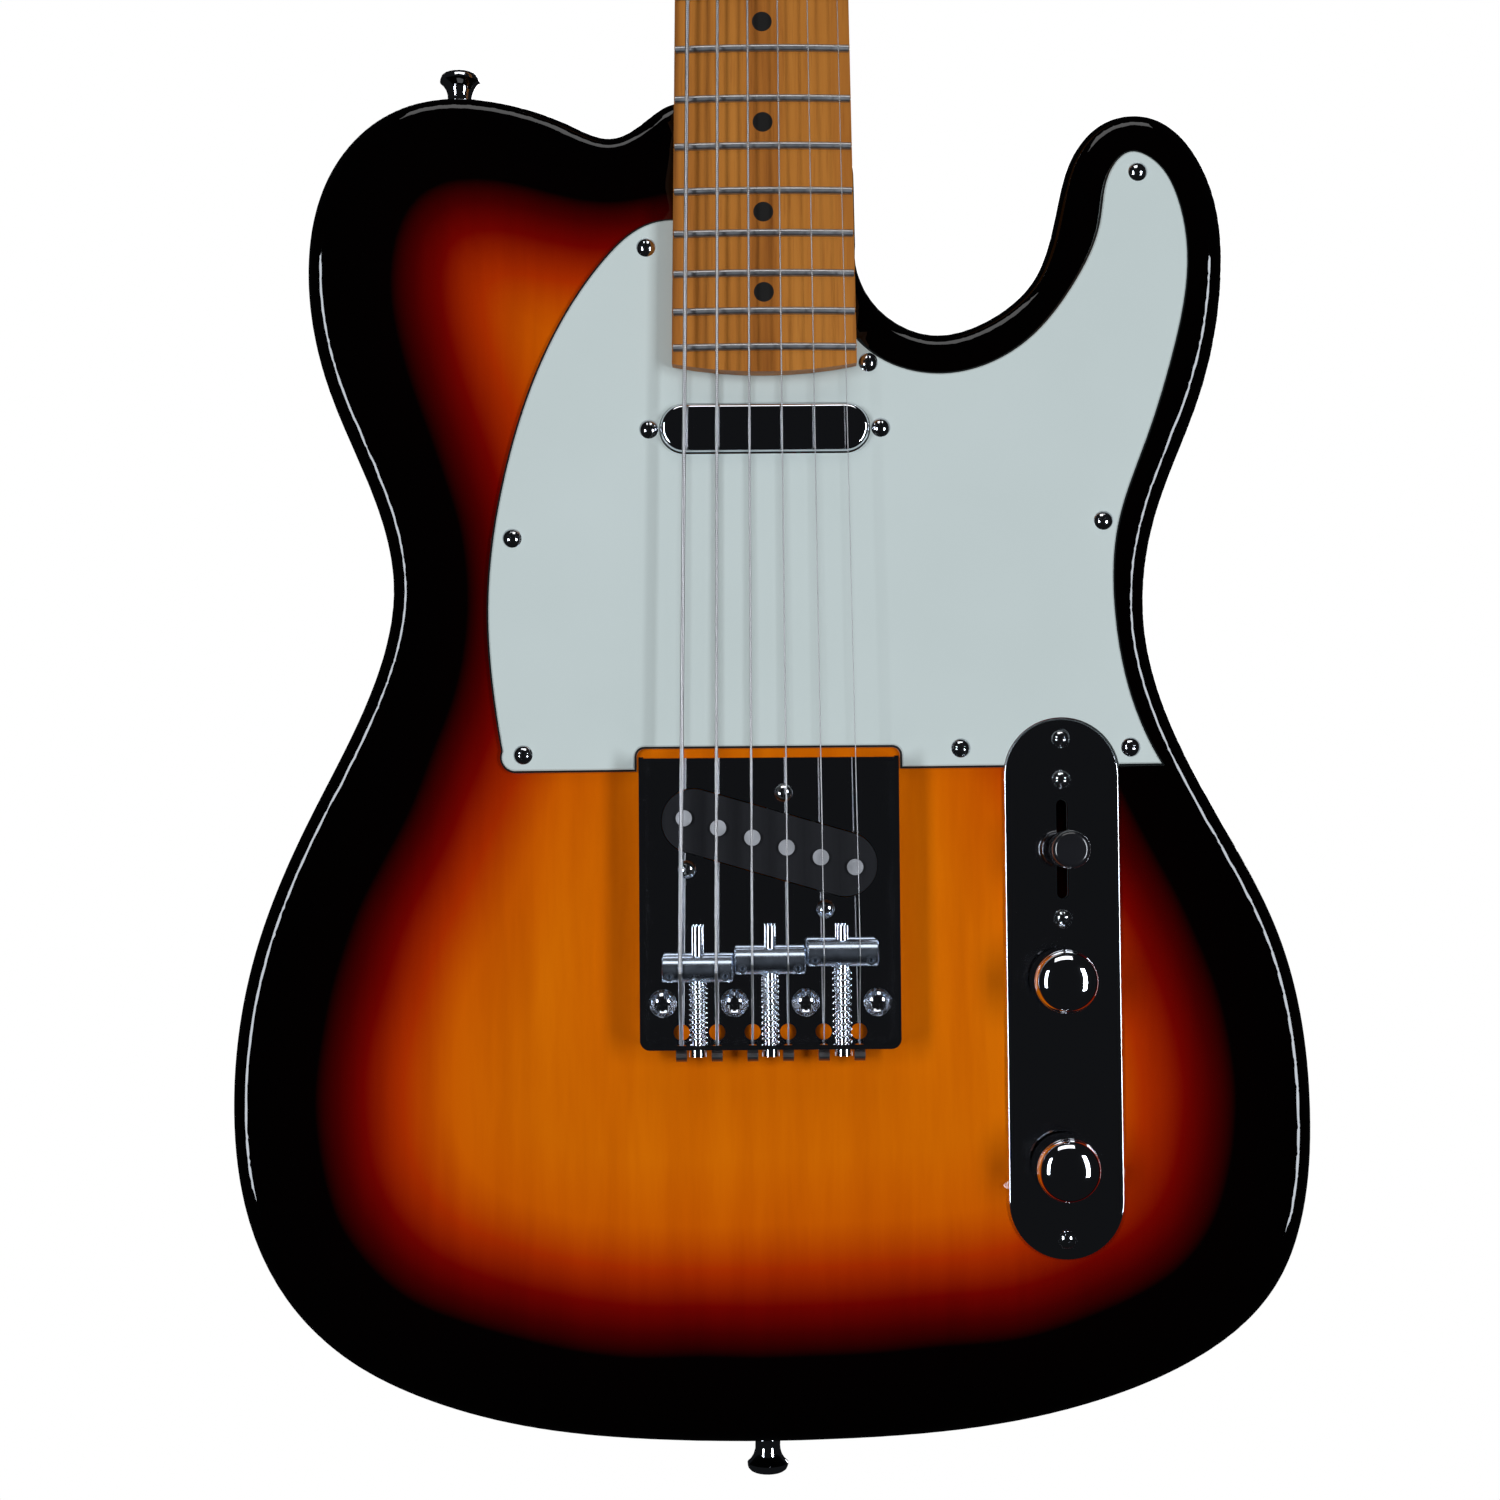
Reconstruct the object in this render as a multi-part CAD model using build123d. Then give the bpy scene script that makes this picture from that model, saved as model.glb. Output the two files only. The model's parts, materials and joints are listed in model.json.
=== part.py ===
"""Single-cutaway solid-body electric guitar, built as separate pieces with their real joints.

Bench frame used while modelling, in mm: x to the treble side, y to the headstock, z out of the front.
The origin is on the flat back, on the neck's centreline, below the point where the scale length ends.
Every piece is turned upright as it is exported: headstock up (+Z), front face towards -Y.
"""
import os
from math import acos, asin, atan2, cos, degrees, hypot, radians, sin

from build123d import *

# ---------------------------------------------------------------- overall sizes
SCALE_LENGTH = 647.7
BODY_THICKNESS = 45.0
BODY_EDGE_RADIUS = 6.0
FIT = 0.02                 # gap around a screw or pin that is held fast
RUNNING_FIT = 0.05         # radial gap around a part that turns or slides
PLATE_GAP = 0.3            # gap around a piece let into a cut-out

# ---------------------------------------------------------------- neck
FRET_COUNT = 22
NUT_WIDTH = 42.5
NECK_HALF_TAPER = 0.01373  # half-width gained per mm towards the bridge
NECK_END_Y = 174.3
BOARD_SHOULDER_Y = 177.0   # where the fretboard's end starts to curve
HEEL_END_Y = 178.0
HEEL_CORNER_R = 7.0
POCKET_DEPTH = 16.0
HEEL_THICKNESS = 25.4      # pocket floor to fretboard crown
FRETBOARD_THICKNESS = 6.0
FRETBOARD_RADIUS = 305.0
FRETBOARD_TOP_Y = SCALE_LENGTH + 7.3
SHAFT_THICKNESS_NUT = 20.8
SHAFT_THICKNESS_BODY = 23.0
FRET_WIDTH = 2.4
FRET_HEIGHT = 1.1
TANG_WIDTH = 0.6
TANG_DEPTH = 1.6
DOT_RADIUS = 3.0
DOT_DEPTH = 1.5
SIDE_DOT_RADIUS = 1.0
DOT_PAIR_OFFSET = 13.0
NUT_LENGTH = 3.3
NUT_SLOT_DEPTH = 3.8
NUT_CROWN = 1.9            # nut's top above the fretboard crown
TRUSS_RADIUS = 2.5
TRUSS_CHANNEL_WIDTH = 6.2
TRUSS_CHANNEL_DEPTH = 6.6
TRUSS_START_Y = 192.0
TRUSS_NUT_END_Y = SCALE_LENGTH + 15.3
SHAFT_START_Y = 240.0
SHAFT_END_Y = SCALE_LENGTH + 4.3
NECK_BOLT_Y = 213.0        # middle of the neck plate
NECK_BOLT_SPREAD = (19.0, 25.4)
NECK_PLATE_SIZE = (51.0, 64.0, 5.0)
NECK_PLATE_THICKNESS = 2.0

# ---------------------------------------------------------------- headstock and tuners
HEADSTOCK_THICKNESS = 13.8
HEADSTOCK_DROP = 7.0       # face below the fretboard crown
HEADSTOCK_START_Y = SCALE_LENGTH + 28.3
HEADSTOCK_EDGE_R = 1.2
HEAD_LEFT = -33.6
HEAD_RIGHT = 25.0
SCOOP_END_Y = SCALE_LENGTH + 24.3
POST_FIRST = (-20.1, SCALE_LENGTH + 38.3)
POST_LAST = (11.5, SCALE_LENGTH + 163.3)
POST_RADIUS = 3.0
POST_ABOVE_FACE = 9.0
WRAP_TURNS = 3
WRAP_HEIGHT = 5.4          # string wraps above the headstock face
BUSHING_RADIUS = 5.2
BUSHING_HEIGHT = 1.6
GEAR_RADIUS = 4.8
GEAR_THICKNESS = 2.4
WORM_RADIUS = 2.0
WORM_GAP = 0.12
HOUSING_DEPTH = 9.0
HOUSING_WALL = 1.4
HOUSING_OUT = 10.2         # from the post's axis towards the buttons
HOUSING_IN = 7.6
HOUSING_HALF_LENGTH = 10.4
BUTTON_STEM = 5.0
BUTTON_LENGTH = 15.0
BUTTON_WIDTH = 19.0
BUTTON_THICKNESS = 7.0
TREE_Y = SCALE_LENGTH + 84.3

# ---------------------------------------------------------------- strings and bridge
STRING_DIAMETERS = (1.17, 0.91, 0.66, 0.43, 0.33, 0.25)
SPACING_NUT = 34.5
SPACING_SADDLE = 53.0
NUT_REST_HEIGHT = 1.25     # string's underside above the fretboard crown at the nut
BRIDGE_X = 0.3
BRIDGE_WIDTH = 77.0
BRIDGE_FRONT_Y = 59.1
BRIDGE_REAR_Y = -27.3
BRIDGE_PLATE_THICKNESS = 1.5
BRIDGE_WALL = 1.4
BRIDGE_WALL_HEIGHT = 11.2
BRIDGE_CORNER_R = 3.0
BRIDGE_SCREW_Y = -14.2
BRIDGE_SCREW_PITCH = 21.4
BODY_STRING_HOLE_Y = -22.9
PLATE_HOLE_RADIUS = 2.4
SADDLE_RADIUS = 4.0
SADDLE_LENGTH = 21.0
SADDLE_PITCH = 21.5
SADDLE_Y = (-3.5, -1.3, 0.9)
SADDLE_AXIS_HEIGHT = 8.9   # above the body's front
GRUB_RADIUS = 1.4
GRUB_SPREAD = 8.25
GRUB_SETBACK = 2.1
INTONATION_RADIUS = 1.6
INTONATION_TIP_Y = 9.0
SPRING_RADIUS = 2.25
SPRING_WIRE = 0.7
SPRING_TURNS = 12
TAIL_HOLE_HEIGHT = 4.0     # string hole in the rear wall, above the body's front
BALL_RADIUS = 2.0
BALL_WIDTH = 3.2

# ---------------------------------------------------------------- pickguard and pickups
GUARD_THICKNESS = 2.2
GUARD_BEVEL = 1.0
NOTCH_GAP = 1.1            # pickguard to bridge plate
NECK_PICKUP_Y = 158.6
NECK_COVER_LENGTH = 63.0
NECK_COVER_WIDTH = 14.6
NECK_COVER_RISE = 2.8      # above the pickguard
NECK_COVER_DEPTH = 17.0
COVER_WALL = 0.5
PICKUP_SCREW_X = 35.0
BRIDGE_PICKUP = (0.4, 33.6)
BRIDGE_PICKUP_TURN = -16.3
BRIDGE_BOBBIN_LENGTH = 66.0
BRIDGE_BOBBIN_WIDTH = 19.0
BRIDGE_BOBBIN_RISE = 6.0   # top flat above the body's front
FLAT_THICKNESS = 1.6
COIL_HEIGHT = 11.0
BRIDGE_PICKUP_SCREWS = ((0.0, 15.6), (-21.6, -14.5), (21.6, -14.5))
POLE_RADIUS = 2.4
POLE_PITCH = 10.6
BASEPLATE_THICKNESS = 1.0
NECK_POLE_REACH = 14.0
BRIDGE_POLE_REACH = 15.2
NECK_CAVITY_DEPTH = 24.0
BRIDGE_CAVITY_DEPTH = 20.0

# ---------------------------------------------------------------- controls
CONTROL_X = 88.3
CONTROL_Y = -10.5
CONTROL_LENGTH = 161.5
CONTROL_WIDTH = 34.5
CONTROL_THICKNESS = 1.2
CONTROL_SCREW_Y = 74.7
CAVITY_WIDTH = 28.0
CAVITY_LENGTH = 140.0
CAVITY_FLOOR = 8.0
KNOB_X = 86.8
KNOB_YS = (-7.6, -62.4)
KNOB_RADIUS = 9.5
KNOB_BASE = 4.0            # above the body's front
KNOB_HEIGHT = 17.0
KNOB_DOME = 3.2
SHAFT_RADIUS = 3.0
POT_RADIUS = 11.8
POT_HEIGHT = 9.0
POT_BUSHING_RADIUS = 4.6
SWITCH_Y = 31.0
SWITCH_SCREW_SPREAD = 20.9
SLOT_LENGTH = 29.7
SLOT_WIDTH = 3.4
PIVOT_DEPTH = 16.0         # lever's pivot below the body's front
LEVER_TOP = 18.5           # above the body's front
LEVER_WIDTH = 5.0
LEVER_THICKNESS = 1.6
TIP_HEIGHT = 10.0
TIP_RADIUS = 5.7
FRAME_HALF = 4.6           # inside of the switch frame's cheeks
CHEEK = 1.0
NUT_THICKNESS = 2.0
NUT_RADIUS = 6.4
CHANNEL_DEPTH = 16.0       # wire channels below the body's front
CHANNEL_RADIUS = 3.5
WIRE_R = 0.7

# ---------------------------------------------------------------- jack and strap buttons
JACK_POINT = (157.9, -88.0)
JACK_ANGLE = -21.5         # outward normal on the lower treble edge
JACK_SEAT = 2.4
JACK_PLATE_LENGTH = 38.0
JACK_PLATE_WIDTH = 20.0
JACK_PLATE_THICKNESS = 1.8
JACK_SCREW_SPREAD = 15.0
JACK_BORE = 3.25
JACK_TUBE_RADIUS = 4.6
JACK_TUBE_LENGTH = 18.0
JACK_CAVITY = (9.5, 64.0)  # radius, depth
STRAP_TOP = (-95.2, 262.4)
STRAP_BOTTOM = (-1.3, -145.2)
STRAP_RADIUS = 6.3
STRAP_HEIGHT = 14.4

# ---------------------------------------------------------------- screws
# each is (shaft radius, length, head radius, head height)
COVER_SCREW = (1.4, 12.0, 2.9, 1.5)
BRIDGE_SCREW = (1.9, 20.0, 4.2, 2.2)
NECK_SCREW = (2.0, 41.0, 4.4, 2.2)
PICKUP_SCREW = (1.5, 16.0, 2.8, 1.4)
HEAD_SCREW = (0.9, 8.0, 1.7, 0.9)
STRAP_SCREW = (1.9, 28.0, 3.4, 1.6)

# ---------------------------------------------------------------- derived heights
FRONT = BODY_THICKNESS
POCKET_FLOOR = FRONT - POCKET_DEPTH
CROWN = POCKET_FLOOR + HEEL_THICKNESS
BOARD_BASE = CROWN - FRETBOARD_THICKNESS
BOARD_AXIS = CROWN - FRETBOARD_RADIUS
FACE = CROWN - HEADSTOCK_DROP
HEAD_BACK = FACE - HEADSTOCK_THICKNESS
GUARD_TOP = FRONT + GUARD_THICKNESS
BRIDGE_TOP = FRONT + BRIDGE_PLATE_THICKNESS
CONTROL_TOP = FRONT + CONTROL_THICKNESS
SADDLE_Z = FRONT + SADDLE_AXIS_HEIGHT
PIVOT_Z = FRONT - PIVOT_DEPTH
CHANNEL_Z = FRONT - CHANNEL_DEPTH
TAIL_Z = FRONT + TAIL_HOLE_HEIGHT
DEPTH_NUT = SHAFT_THICKNESS_NUT - FRETBOARD_THICKNESS
DEPTH_BODY = SHAFT_THICKNESS_BODY - FRETBOARD_THICKNESS
STRAP_SCREW_START = STRAP_HEIGHT - 2.0
BUTTON_START = HOUSING_OUT + BUTTON_STEM
WORM_OFFSET = GEAR_RADIUS + WORM_RADIUS + WORM_GAP
NOTCH_TOP = BRIDGE_FRONT_Y + 2.9

UP = (Align.CENTER, Align.CENTER, Align.MIN)


# ================================================================ helpers
def half_width(y):
    """Half the neck's width at y."""
    return NUT_WIDTH / 2 + (SCALE_LENGTH - y) * NECK_HALF_TAPER


def fret_y(n):
    return SCALE_LENGTH / 2 ** (n / 12)


def disc(r, h, at=(0, 0, 0)):
    """Cylinder standing on the given point."""
    return Pos(*at) * Cylinder(r, h, align=UP)


def rod(start, end, r):
    """Round bar between two points."""
    run = Vector(*end) - Vector(*start)
    return Plane(origin=start, z_dir=run) * Cylinder(r, run.length, align=UP)


def swept_wire(points, r):
    """Round wire through the points, with mitred corners."""
    path = Wire([Line(a, b) for a, b in zip(points, points[1:])])
    section = Plane(origin=path @ 0, z_dir=path % 0) * Circle(r)
    return sweep(section, path, transition=Transition.RIGHT)


def block(x0, x1, y0, y1, z0, z1):
    return Pos((x0 + x1) / 2, (y0 + y1) / 2, (z0 + z1) / 2) * Box(x1 - x0, y1 - y0, z1 - z0)


def prism(face, z0, z1):
    return Pos(0, 0, z0) * extrude(face, z1 - z0)


def slot_face(length, width):
    """Flat shape with round ends, long side along x."""
    return SlotOverall(length, width)


def group(pieces):
    return Compound(children=[solid for piece in pieces for solid in piece.solids()])


def save(name, shape):
    """Turn the piece upright and write it."""
    upright = Rot(90, 0, 0) * shape
    export_step(upright, f"parts/{name}.step")


def screw(size, at, direction=(0, 0, -1)):
    """Domed cross-head screw; `at` is under the head, `direction` points into the work."""
    shaft_r, length, head_r, head_h = size
    ball_r = (head_r ** 2 + head_h ** 2) / (2 * head_h)
    head = disc(head_r, head_h) & (Pos(0, 0, head_h - ball_r) * Sphere(ball_r))
    tip = Pos(0, 0, -length) * Cone(0.2 * shaft_r, shaft_r, 1.5 * shaft_r, align=UP)
    shank = Pos(0, 0, -length + 1.5 * shaft_r) * Cylinder(shaft_r, length - 1.5 * shaft_r, align=UP)
    body = head + shank + tip
    arm = Pos(0, 0, head_h) * Box(head_r * 1.1, head_r * 0.24, head_h * 1.1)
    body -= arm + Rot(0, 0, 90) * arm
    away = Vector(*direction) * -1
    return Plane(origin=at, z_dir=away) * body


def screw_hole(size, at, direction=(0, 0, -1), slack=FIT):
    shaft_r, length = size[:2]
    away = Vector(*direction) * -1
    hole = Pos(0, 0, -length - 0.5) * Cylinder(shaft_r + slack, length + 1.5, align=UP)
    return Plane(origin=at, z_dir=away) * hole


def string_x(index, y):
    """A string's distance from the centreline at y."""
    at_nut = SPACING_NUT * (index / 5 - 0.5)
    at_saddle = SPACING_SADDLE * (index / 5 - 0.5)
    return at_saddle + (at_nut - at_saddle) * y / SCALE_LENGTH


def post_point(index):
    share = index / 5
    return (POST_FIRST[0] + (POST_LAST[0] - POST_FIRST[0]) * share,
            POST_FIRST[1] + (POST_LAST[1] - POST_FIRST[1]) * share)


# ================================================================ body
body_side = Spline(
    (-20, 259.5), (-29, 260), (-36, 255.3), (-46, 250), (-58.5, 254), (-80.5, 261.3), (-99.5, 262.5),
    (-118, 256), (-133, 239), (-139.4, 211), (-133, 172.5), (-118, 135.5), (-113.4, 112),
    (-120.7, 79), (-139, 41.5), (-155.5, 0.5), (-161.6, -46), (-155.1, -84.6), (-145.5, -102.6),
    (-126.9, -120.7), (-103, -132.7), (-72, -141), (-36, -144.8), (23, -145), (74, -140), (98, -134.2),
    (126.2, -122.6), (143.1, -110.6), (152.7, -98.7), (159.7, -80.8), (162.9, -50),
    (154.4, 4.5), (128.4, 56), (115, 100), (118.9, 131.9),
    (132.6, 167.6), (140.3, 208), (135.6, 238), (119.5, 255), (105.5, 254), (95.9, 244.8),
    (90.6, 229), (82.2, 204.4), (68, 192.6), (51.5, 188.5), (38, 194.2), (30, 205), (28.4, 216))
heel_side = Line((28.4, 216), (28.1, 238))
heel_corner = TangentArc((28.1, 238), (18, 249.6), tangent=(-0.016, 1))
heel_top = Line((18, 249.6), (-20, 259.5))
body_face = make_face([body_side, heel_side, heel_corner, heel_top])
body = extrude(body_face, BODY_THICKNESS)
rims = body.edges().group_by(Axis.Z)
body = fillet(rims[0] + rims[-1], BODY_EDGE_RADIUS)


def neck_plan(y0, y1, widen=0.0, corner=0.0):
    """Tapered plan of the neck between two stations, with rounded heel corners."""
    plan = make_face(Polyline(
        (-half_width(y0) - widen, y0), (half_width(y0) + widen, y0),
        (half_width(y1) + widen, y1), (-half_width(y1) - widen, y1), close=True))
    if corner:
        plan = fillet(plan.vertices().group_by(Axis.Y)[0], corner)
    return plan


body -= prism(neck_plan(HEEL_END_Y - 0.1, 300, 0.1, HEEL_CORNER_R), POCKET_FLOOR, FRONT + 10)

# ---------------------------------------------------------------- cavities
control_place = Pos(CONTROL_X, CONTROL_Y, 0)
upright_slot = Rot(0, 0, 90)
control_cavity = control_place * upright_slot * prism(
    slot_face(CAVITY_LENGTH, CAVITY_WIDTH), CAVITY_FLOOR, FRONT + 1)
neck_cavity = Pos(0, NECK_PICKUP_Y, 0) * prism(slot_face(80, 20), FRONT - NECK_CAVITY_DEPTH, FRONT + 1)
bridge_place = Pos(BRIDGE_PICKUP[0], BRIDGE_PICKUP[1], 0) * Rot(0, 0, BRIDGE_PICKUP_TURN)
cavity_low = FRONT - BRIDGE_CAVITY_DEPTH
bridge_cavity = bridge_place * (
    prism(slot_face(BRIDGE_BOBBIN_LENGTH + 4, 24), cavity_low, FRONT + 1)
    + prism(Pos(0, -10) * slot_face(58, 22), cavity_low, FRONT + 1)
    + prism(Pos(0, 13) * slot_face(18, 16), cavity_low, FRONT + 1))
channels = (rod((10, NECK_PICKUP_Y, CHANNEL_Z), (14, 38, CHANNEL_Z), CHANNEL_RADIUS)
            + rod((18, 28, CHANNEL_Z), (CONTROL_X - 6, 36, CHANNEL_Z), CHANNEL_RADIUS))

jack_normal = (cos(radians(JACK_ANGLE)), sin(radians(JACK_ANGLE)))
jack_frame = Plane(
    origin=(JACK_POINT[0] - JACK_SEAT * jack_normal[0], JACK_POINT[1] - JACK_SEAT * jack_normal[1],
            BODY_THICKNESS / 2),
    x_dir=(-jack_normal[1], jack_normal[0], 0), z_dir=(jack_normal[0], jack_normal[1], 0))
jack_shape = slot_face(JACK_PLATE_LENGTH, JACK_PLATE_WIDTH)
jack_recess = jack_frame * prism(slot_face(JACK_PLATE_LENGTH + 0.6, JACK_PLATE_WIDTH + 0.6), 0, 12)
jack_cavity = jack_frame * disc(JACK_CAVITY[0], JACK_CAVITY[1] + 0.5, (0, 0, -JACK_CAVITY[1]))
body -= control_cavity + neck_cavity + bridge_cavity + jack_recess + jack_cavity
body -= channels

# ---------------------------------------------------------------- holes for the screws
NECK_SCREW_POINTS = [(sx * NECK_BOLT_SPREAD[0], NECK_BOLT_Y + sy * NECK_BOLT_SPREAD[1])
                     for sx in (-1, 1) for sy in (-1, 1)]
for px, py in NECK_SCREW_POINTS:
    body -= disc(NECK_SCREW[0] + 0.3, POCKET_FLOOR + 2, (px, py, -1))
BRIDGE_SCREW_POINTS = [(BRIDGE_X + BRIDGE_SCREW_PITCH * (i - 1.5), BRIDGE_SCREW_Y) for i in range(4)]
for px, py in BRIDGE_SCREW_POINTS:
    body -= screw_hole(BRIDGE_SCREW, (px, py, BRIDGE_TOP))
CONTROL_SCREW_POINTS = [(CONTROL_X, CONTROL_Y + s * CONTROL_SCREW_Y) for s in (-1, 1)]
SWITCH_SCREW_POINTS = [(CONTROL_X, SWITCH_Y + s * SWITCH_SCREW_SPREAD) for s in (-1, 1)]
for px, py in CONTROL_SCREW_POINTS:
    body -= screw_hole(COVER_SCREW, (px, py, CONTROL_TOP))
GUARD_SCREW_POINTS = [(-35.6, 214.1), (-76.4, 125.8), (-73.3, 60.4), (31.4, 178.5), (113.8, 236.2),
                      (101.9, 129.9), (58.1, 61.5), (109.1, 61.4)]
for px, py in GUARD_SCREW_POINTS:
    body -= screw_hole(COVER_SCREW, (px, py, GUARD_TOP))
STRAPS = [(STRAP_TOP, (0, 1)), (STRAP_BOTTOM, (0, -1))]
for (px, py), (dx, dy) in STRAPS:
    seat = (px, py + dy * STRAP_SCREW_START, BODY_THICKNESS / 2)
    body -= screw_hole(STRAP_SCREW, seat, (-dx, -dy, 0))
jack_inward = (-jack_normal[0], -jack_normal[1], 0)
JACK_SCREW_SEATS = [jack_frame.from_local_coords(Vector(s * JACK_SCREW_SPREAD, 0, JACK_PLATE_THICKNESS))
                    for s in (-1, 1)]
for seat in JACK_SCREW_SEATS:
    body -= screw_hole(COVER_SCREW, tuple(seat), jack_inward)

# ================================================================ neck
def shaft_section(y, half, depth, top, power, shift=0.0):
    """Closed section of the neck across y: flat top, rounded back."""
    steps = 8
    rim = []
    for i in range(steps + 1):
        t = radians(180 * i / steps)
        rim.append((shift + half * (1 if cos(t) >= 0 else -1) * abs(cos(t)) ** (2 / power),
                    -depth * abs(sin(t)) ** (2 / power)))
    station = Plane(origin=(0, y, top), x_dir=(1, 0, 0), z_dir=(0, -1, 0))
    return station * make_face([Line(rim[-1], rim[0]), Spline(*rim)])


def straight(start, end, y):
    return start[1] + (end[1] - start[1]) * (y - start[0]) / (end[0] - start[0])


depth_start = straight((SHAFT_END_Y, DEPTH_NUT), (262.0, DEPTH_BODY), SHAFT_START_Y)
shaft = loft([shaft_section(SHAFT_START_Y, half_width(SHAFT_START_Y), depth_start, BOARD_BASE, 2),
              shaft_section(SHAFT_END_Y, half_width(SHAFT_END_Y), DEPTH_NUT, BOARD_BASE, 2)])
heel_profile = make_face([
    Polyline((HEEL_END_Y, BOARD_BASE), (HEEL_END_Y, POCKET_FLOOR), (250, POCKET_FLOOR)),
    ThreePointArc((250, POCKET_FLOOR), (262.5, 30.4), (274, 34.5)),
    Polyline((274, 34.5), (274, BOARD_BASE), (HEEL_END_Y, BOARD_BASE))])
side_plane = Plane(origin=(0, 0, 0), x_dir=(0, 1, 0), z_dir=(1, 0, 0))
heel = extrude(side_plane * heel_profile, 40, both=True)
heel &= prism(neck_plan(HEEL_END_Y, 280, 0, HEEL_CORNER_R), POCKET_FLOOR - 1, BOARD_BASE)
flare = loft([shaft_section(SHAFT_END_Y, half_width(SHAFT_END_Y), DEPTH_NUT, BOARD_BASE, 2),
              shaft_section(HEADSTOCK_START_Y, (HEAD_RIGHT - HEAD_LEFT) / 2, HEADSTOCK_THICKNESS, FACE, 9,
                            (HEAD_LEFT + HEAD_RIGHT) / 2)])
head_face = make_face([
    Line((HEAD_LEFT, 0), (-1.5, 127)),
    Spline((-1.5, 127), (2.5, 143), (15, 152.5), (29, 148), (37, 129), (36.5, 99), (31, 59), (27, 24),
           (HEAD_RIGHT, 0)),
    Line((HEAD_RIGHT, 0), (HEAD_LEFT, 0))])
head = Pos(0, HEADSTOCK_START_Y, 0) * prism(head_face, HEAD_BACK, FACE)
far_rims = (head.edges().group_by(Axis.Z)[0] + head.edges().group_by(Axis.Z)[-1]).filter_by(
    lambda e: e.center().Y > HEADSTOCK_START_Y + 1)
head = fillet(far_rims, HEADSTOCK_EDGE_R)
scoop_profile = make_face([
    Polyline((SCOOP_END_Y, FACE), (SCOOP_END_Y, FACE - 3), (SHAFT_END_Y, FACE - 3),
             (SHAFT_END_Y, BOARD_BASE), (FRETBOARD_TOP_Y, BOARD_BASE), (FRETBOARD_TOP_Y, CROWN - 1.4)),
    ThreePointArc((FRETBOARD_TOP_Y, CROWN - 1.4), (FRETBOARD_TOP_Y + 5.5, FACE + 1.7), (SCOOP_END_Y, FACE))])
scoop = extrude(side_plane * scoop_profile, 19.5, both=True)
neck = shaft + heel + flare + head + scoop
neck -= block(-60, 60, SHAFT_END_Y - 12, FRETBOARD_TOP_Y, BOARD_BASE, CROWN + 5)
truss_z = BOARD_BASE - TRUSS_CHANNEL_DEPTH / 2
neck -= block(-TRUSS_CHANNEL_WIDTH / 2, TRUSS_CHANNEL_WIDTH / 2, TRUSS_START_Y - 2, FRETBOARD_TOP_Y,
              BOARD_BASE - TRUSS_CHANNEL_DEPTH, BOARD_BASE)
neck -= rod((0, SHAFT_END_Y - 2, truss_z), (0, TRUSS_NUT_END_Y + 1, truss_z), 3.6)
neck -= block(-3.6, 3.6, FRETBOARD_TOP_Y + 1, SCOOP_END_Y, truss_z, CROWN)
for px, py in NECK_SCREW_POINTS:
    neck -= disc(NECK_SCREW[0] + FIT, NECK_SCREW[1], (px, py, -NECK_PLATE_THICKNESS + FIT))

# ---------------------------------------------------------------- fretboard
board_low = half_width(BOARD_SHOULDER_Y)
board_high = half_width(FRETBOARD_TOP_Y)
board_plan = make_face([
    Polyline((board_low, BOARD_SHOULDER_Y), (board_high, FRETBOARD_TOP_Y),
             (-board_high, FRETBOARD_TOP_Y), (-board_low, BOARD_SHOULDER_Y)),
    ThreePointArc((-board_low, BOARD_SHOULDER_Y), (0, NECK_END_Y), (board_low, BOARD_SHOULDER_Y))])
crown_middle_y = SCALE_LENGTH / 2 + 76.15
crown_length = SCALE_LENGTH + 52.3
crown_solid = Pos(0, crown_middle_y, BOARD_AXIS) * Rot(90, 0, 0) * Cylinder(FRETBOARD_RADIUS, crown_length)
fretboard = prism(board_plan, BOARD_BASE, CROWN + 1) & crown_solid


def crown_sweep(section, half):
    """Turn a section standing on the centreline about the fretboard's radius, out to +-half."""
    angle = degrees(asin(half / FRETBOARD_RADIUS))
    return Pos(0, 0, BOARD_AXIS) * Rot(0, -angle, 0) * revolve(
        Pos(0, 0, -BOARD_AXIS) * section, Axis((0, 0, 0), (0, 1, 0)), 2 * angle)


frets = []
for n in range(1, FRET_COUNT + 1):
    y = fret_y(n)
    tang = side_plane * make_face(Polyline(
        (y - TANG_WIDTH / 2, CROWN - TANG_DEPTH), (y + TANG_WIDTH / 2, CROWN - TANG_DEPTH),
        (y + TANG_WIDTH / 2, CROWN + 0.3), (y - TANG_WIDTH / 2, CROWN + 0.3), close=True))
    bead = side_plane * make_face([
        Line((y - FRET_WIDTH / 2, CROWN), (y + FRET_WIDTH / 2, CROWN)),
        ThreePointArc((y + FRET_WIDTH / 2, CROWN), (y, CROWN + FRET_HEIGHT), (y - FRET_WIDTH / 2, CROWN))])
    fretboard -= crown_sweep(tang, half_width(y) + 1)
    frets.append(crown_sweep(bead, half_width(y) - 0.4) + crown_sweep(tang, half_width(y) - 0.4))

dots = []
for n in (3, 5, 7, 9, 12, 15, 17, 19, 21):
    y = (fret_y(n) + fret_y(n - 1)) / 2
    for x in ((-DOT_PAIR_OFFSET, DOT_PAIR_OFFSET) if n == 12 else (0,)):
        dot = disc(DOT_RADIUS, 4, (x, y, CROWN - DOT_DEPTH)) & crown_solid
        fretboard -= dot
        dots.append(dot)
    edge = -half_width(y)
    for shift in ((-3, 3) if n == 12 else (0,)):
        side_dot = rod((edge + 0.02, y + shift, CROWN - 3.4), (edge + 1.4, y + shift, CROWN - 3.4),
                       SIDE_DOT_RADIUS)
        fretboard -= side_dot
        dots.append(side_dot)

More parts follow.
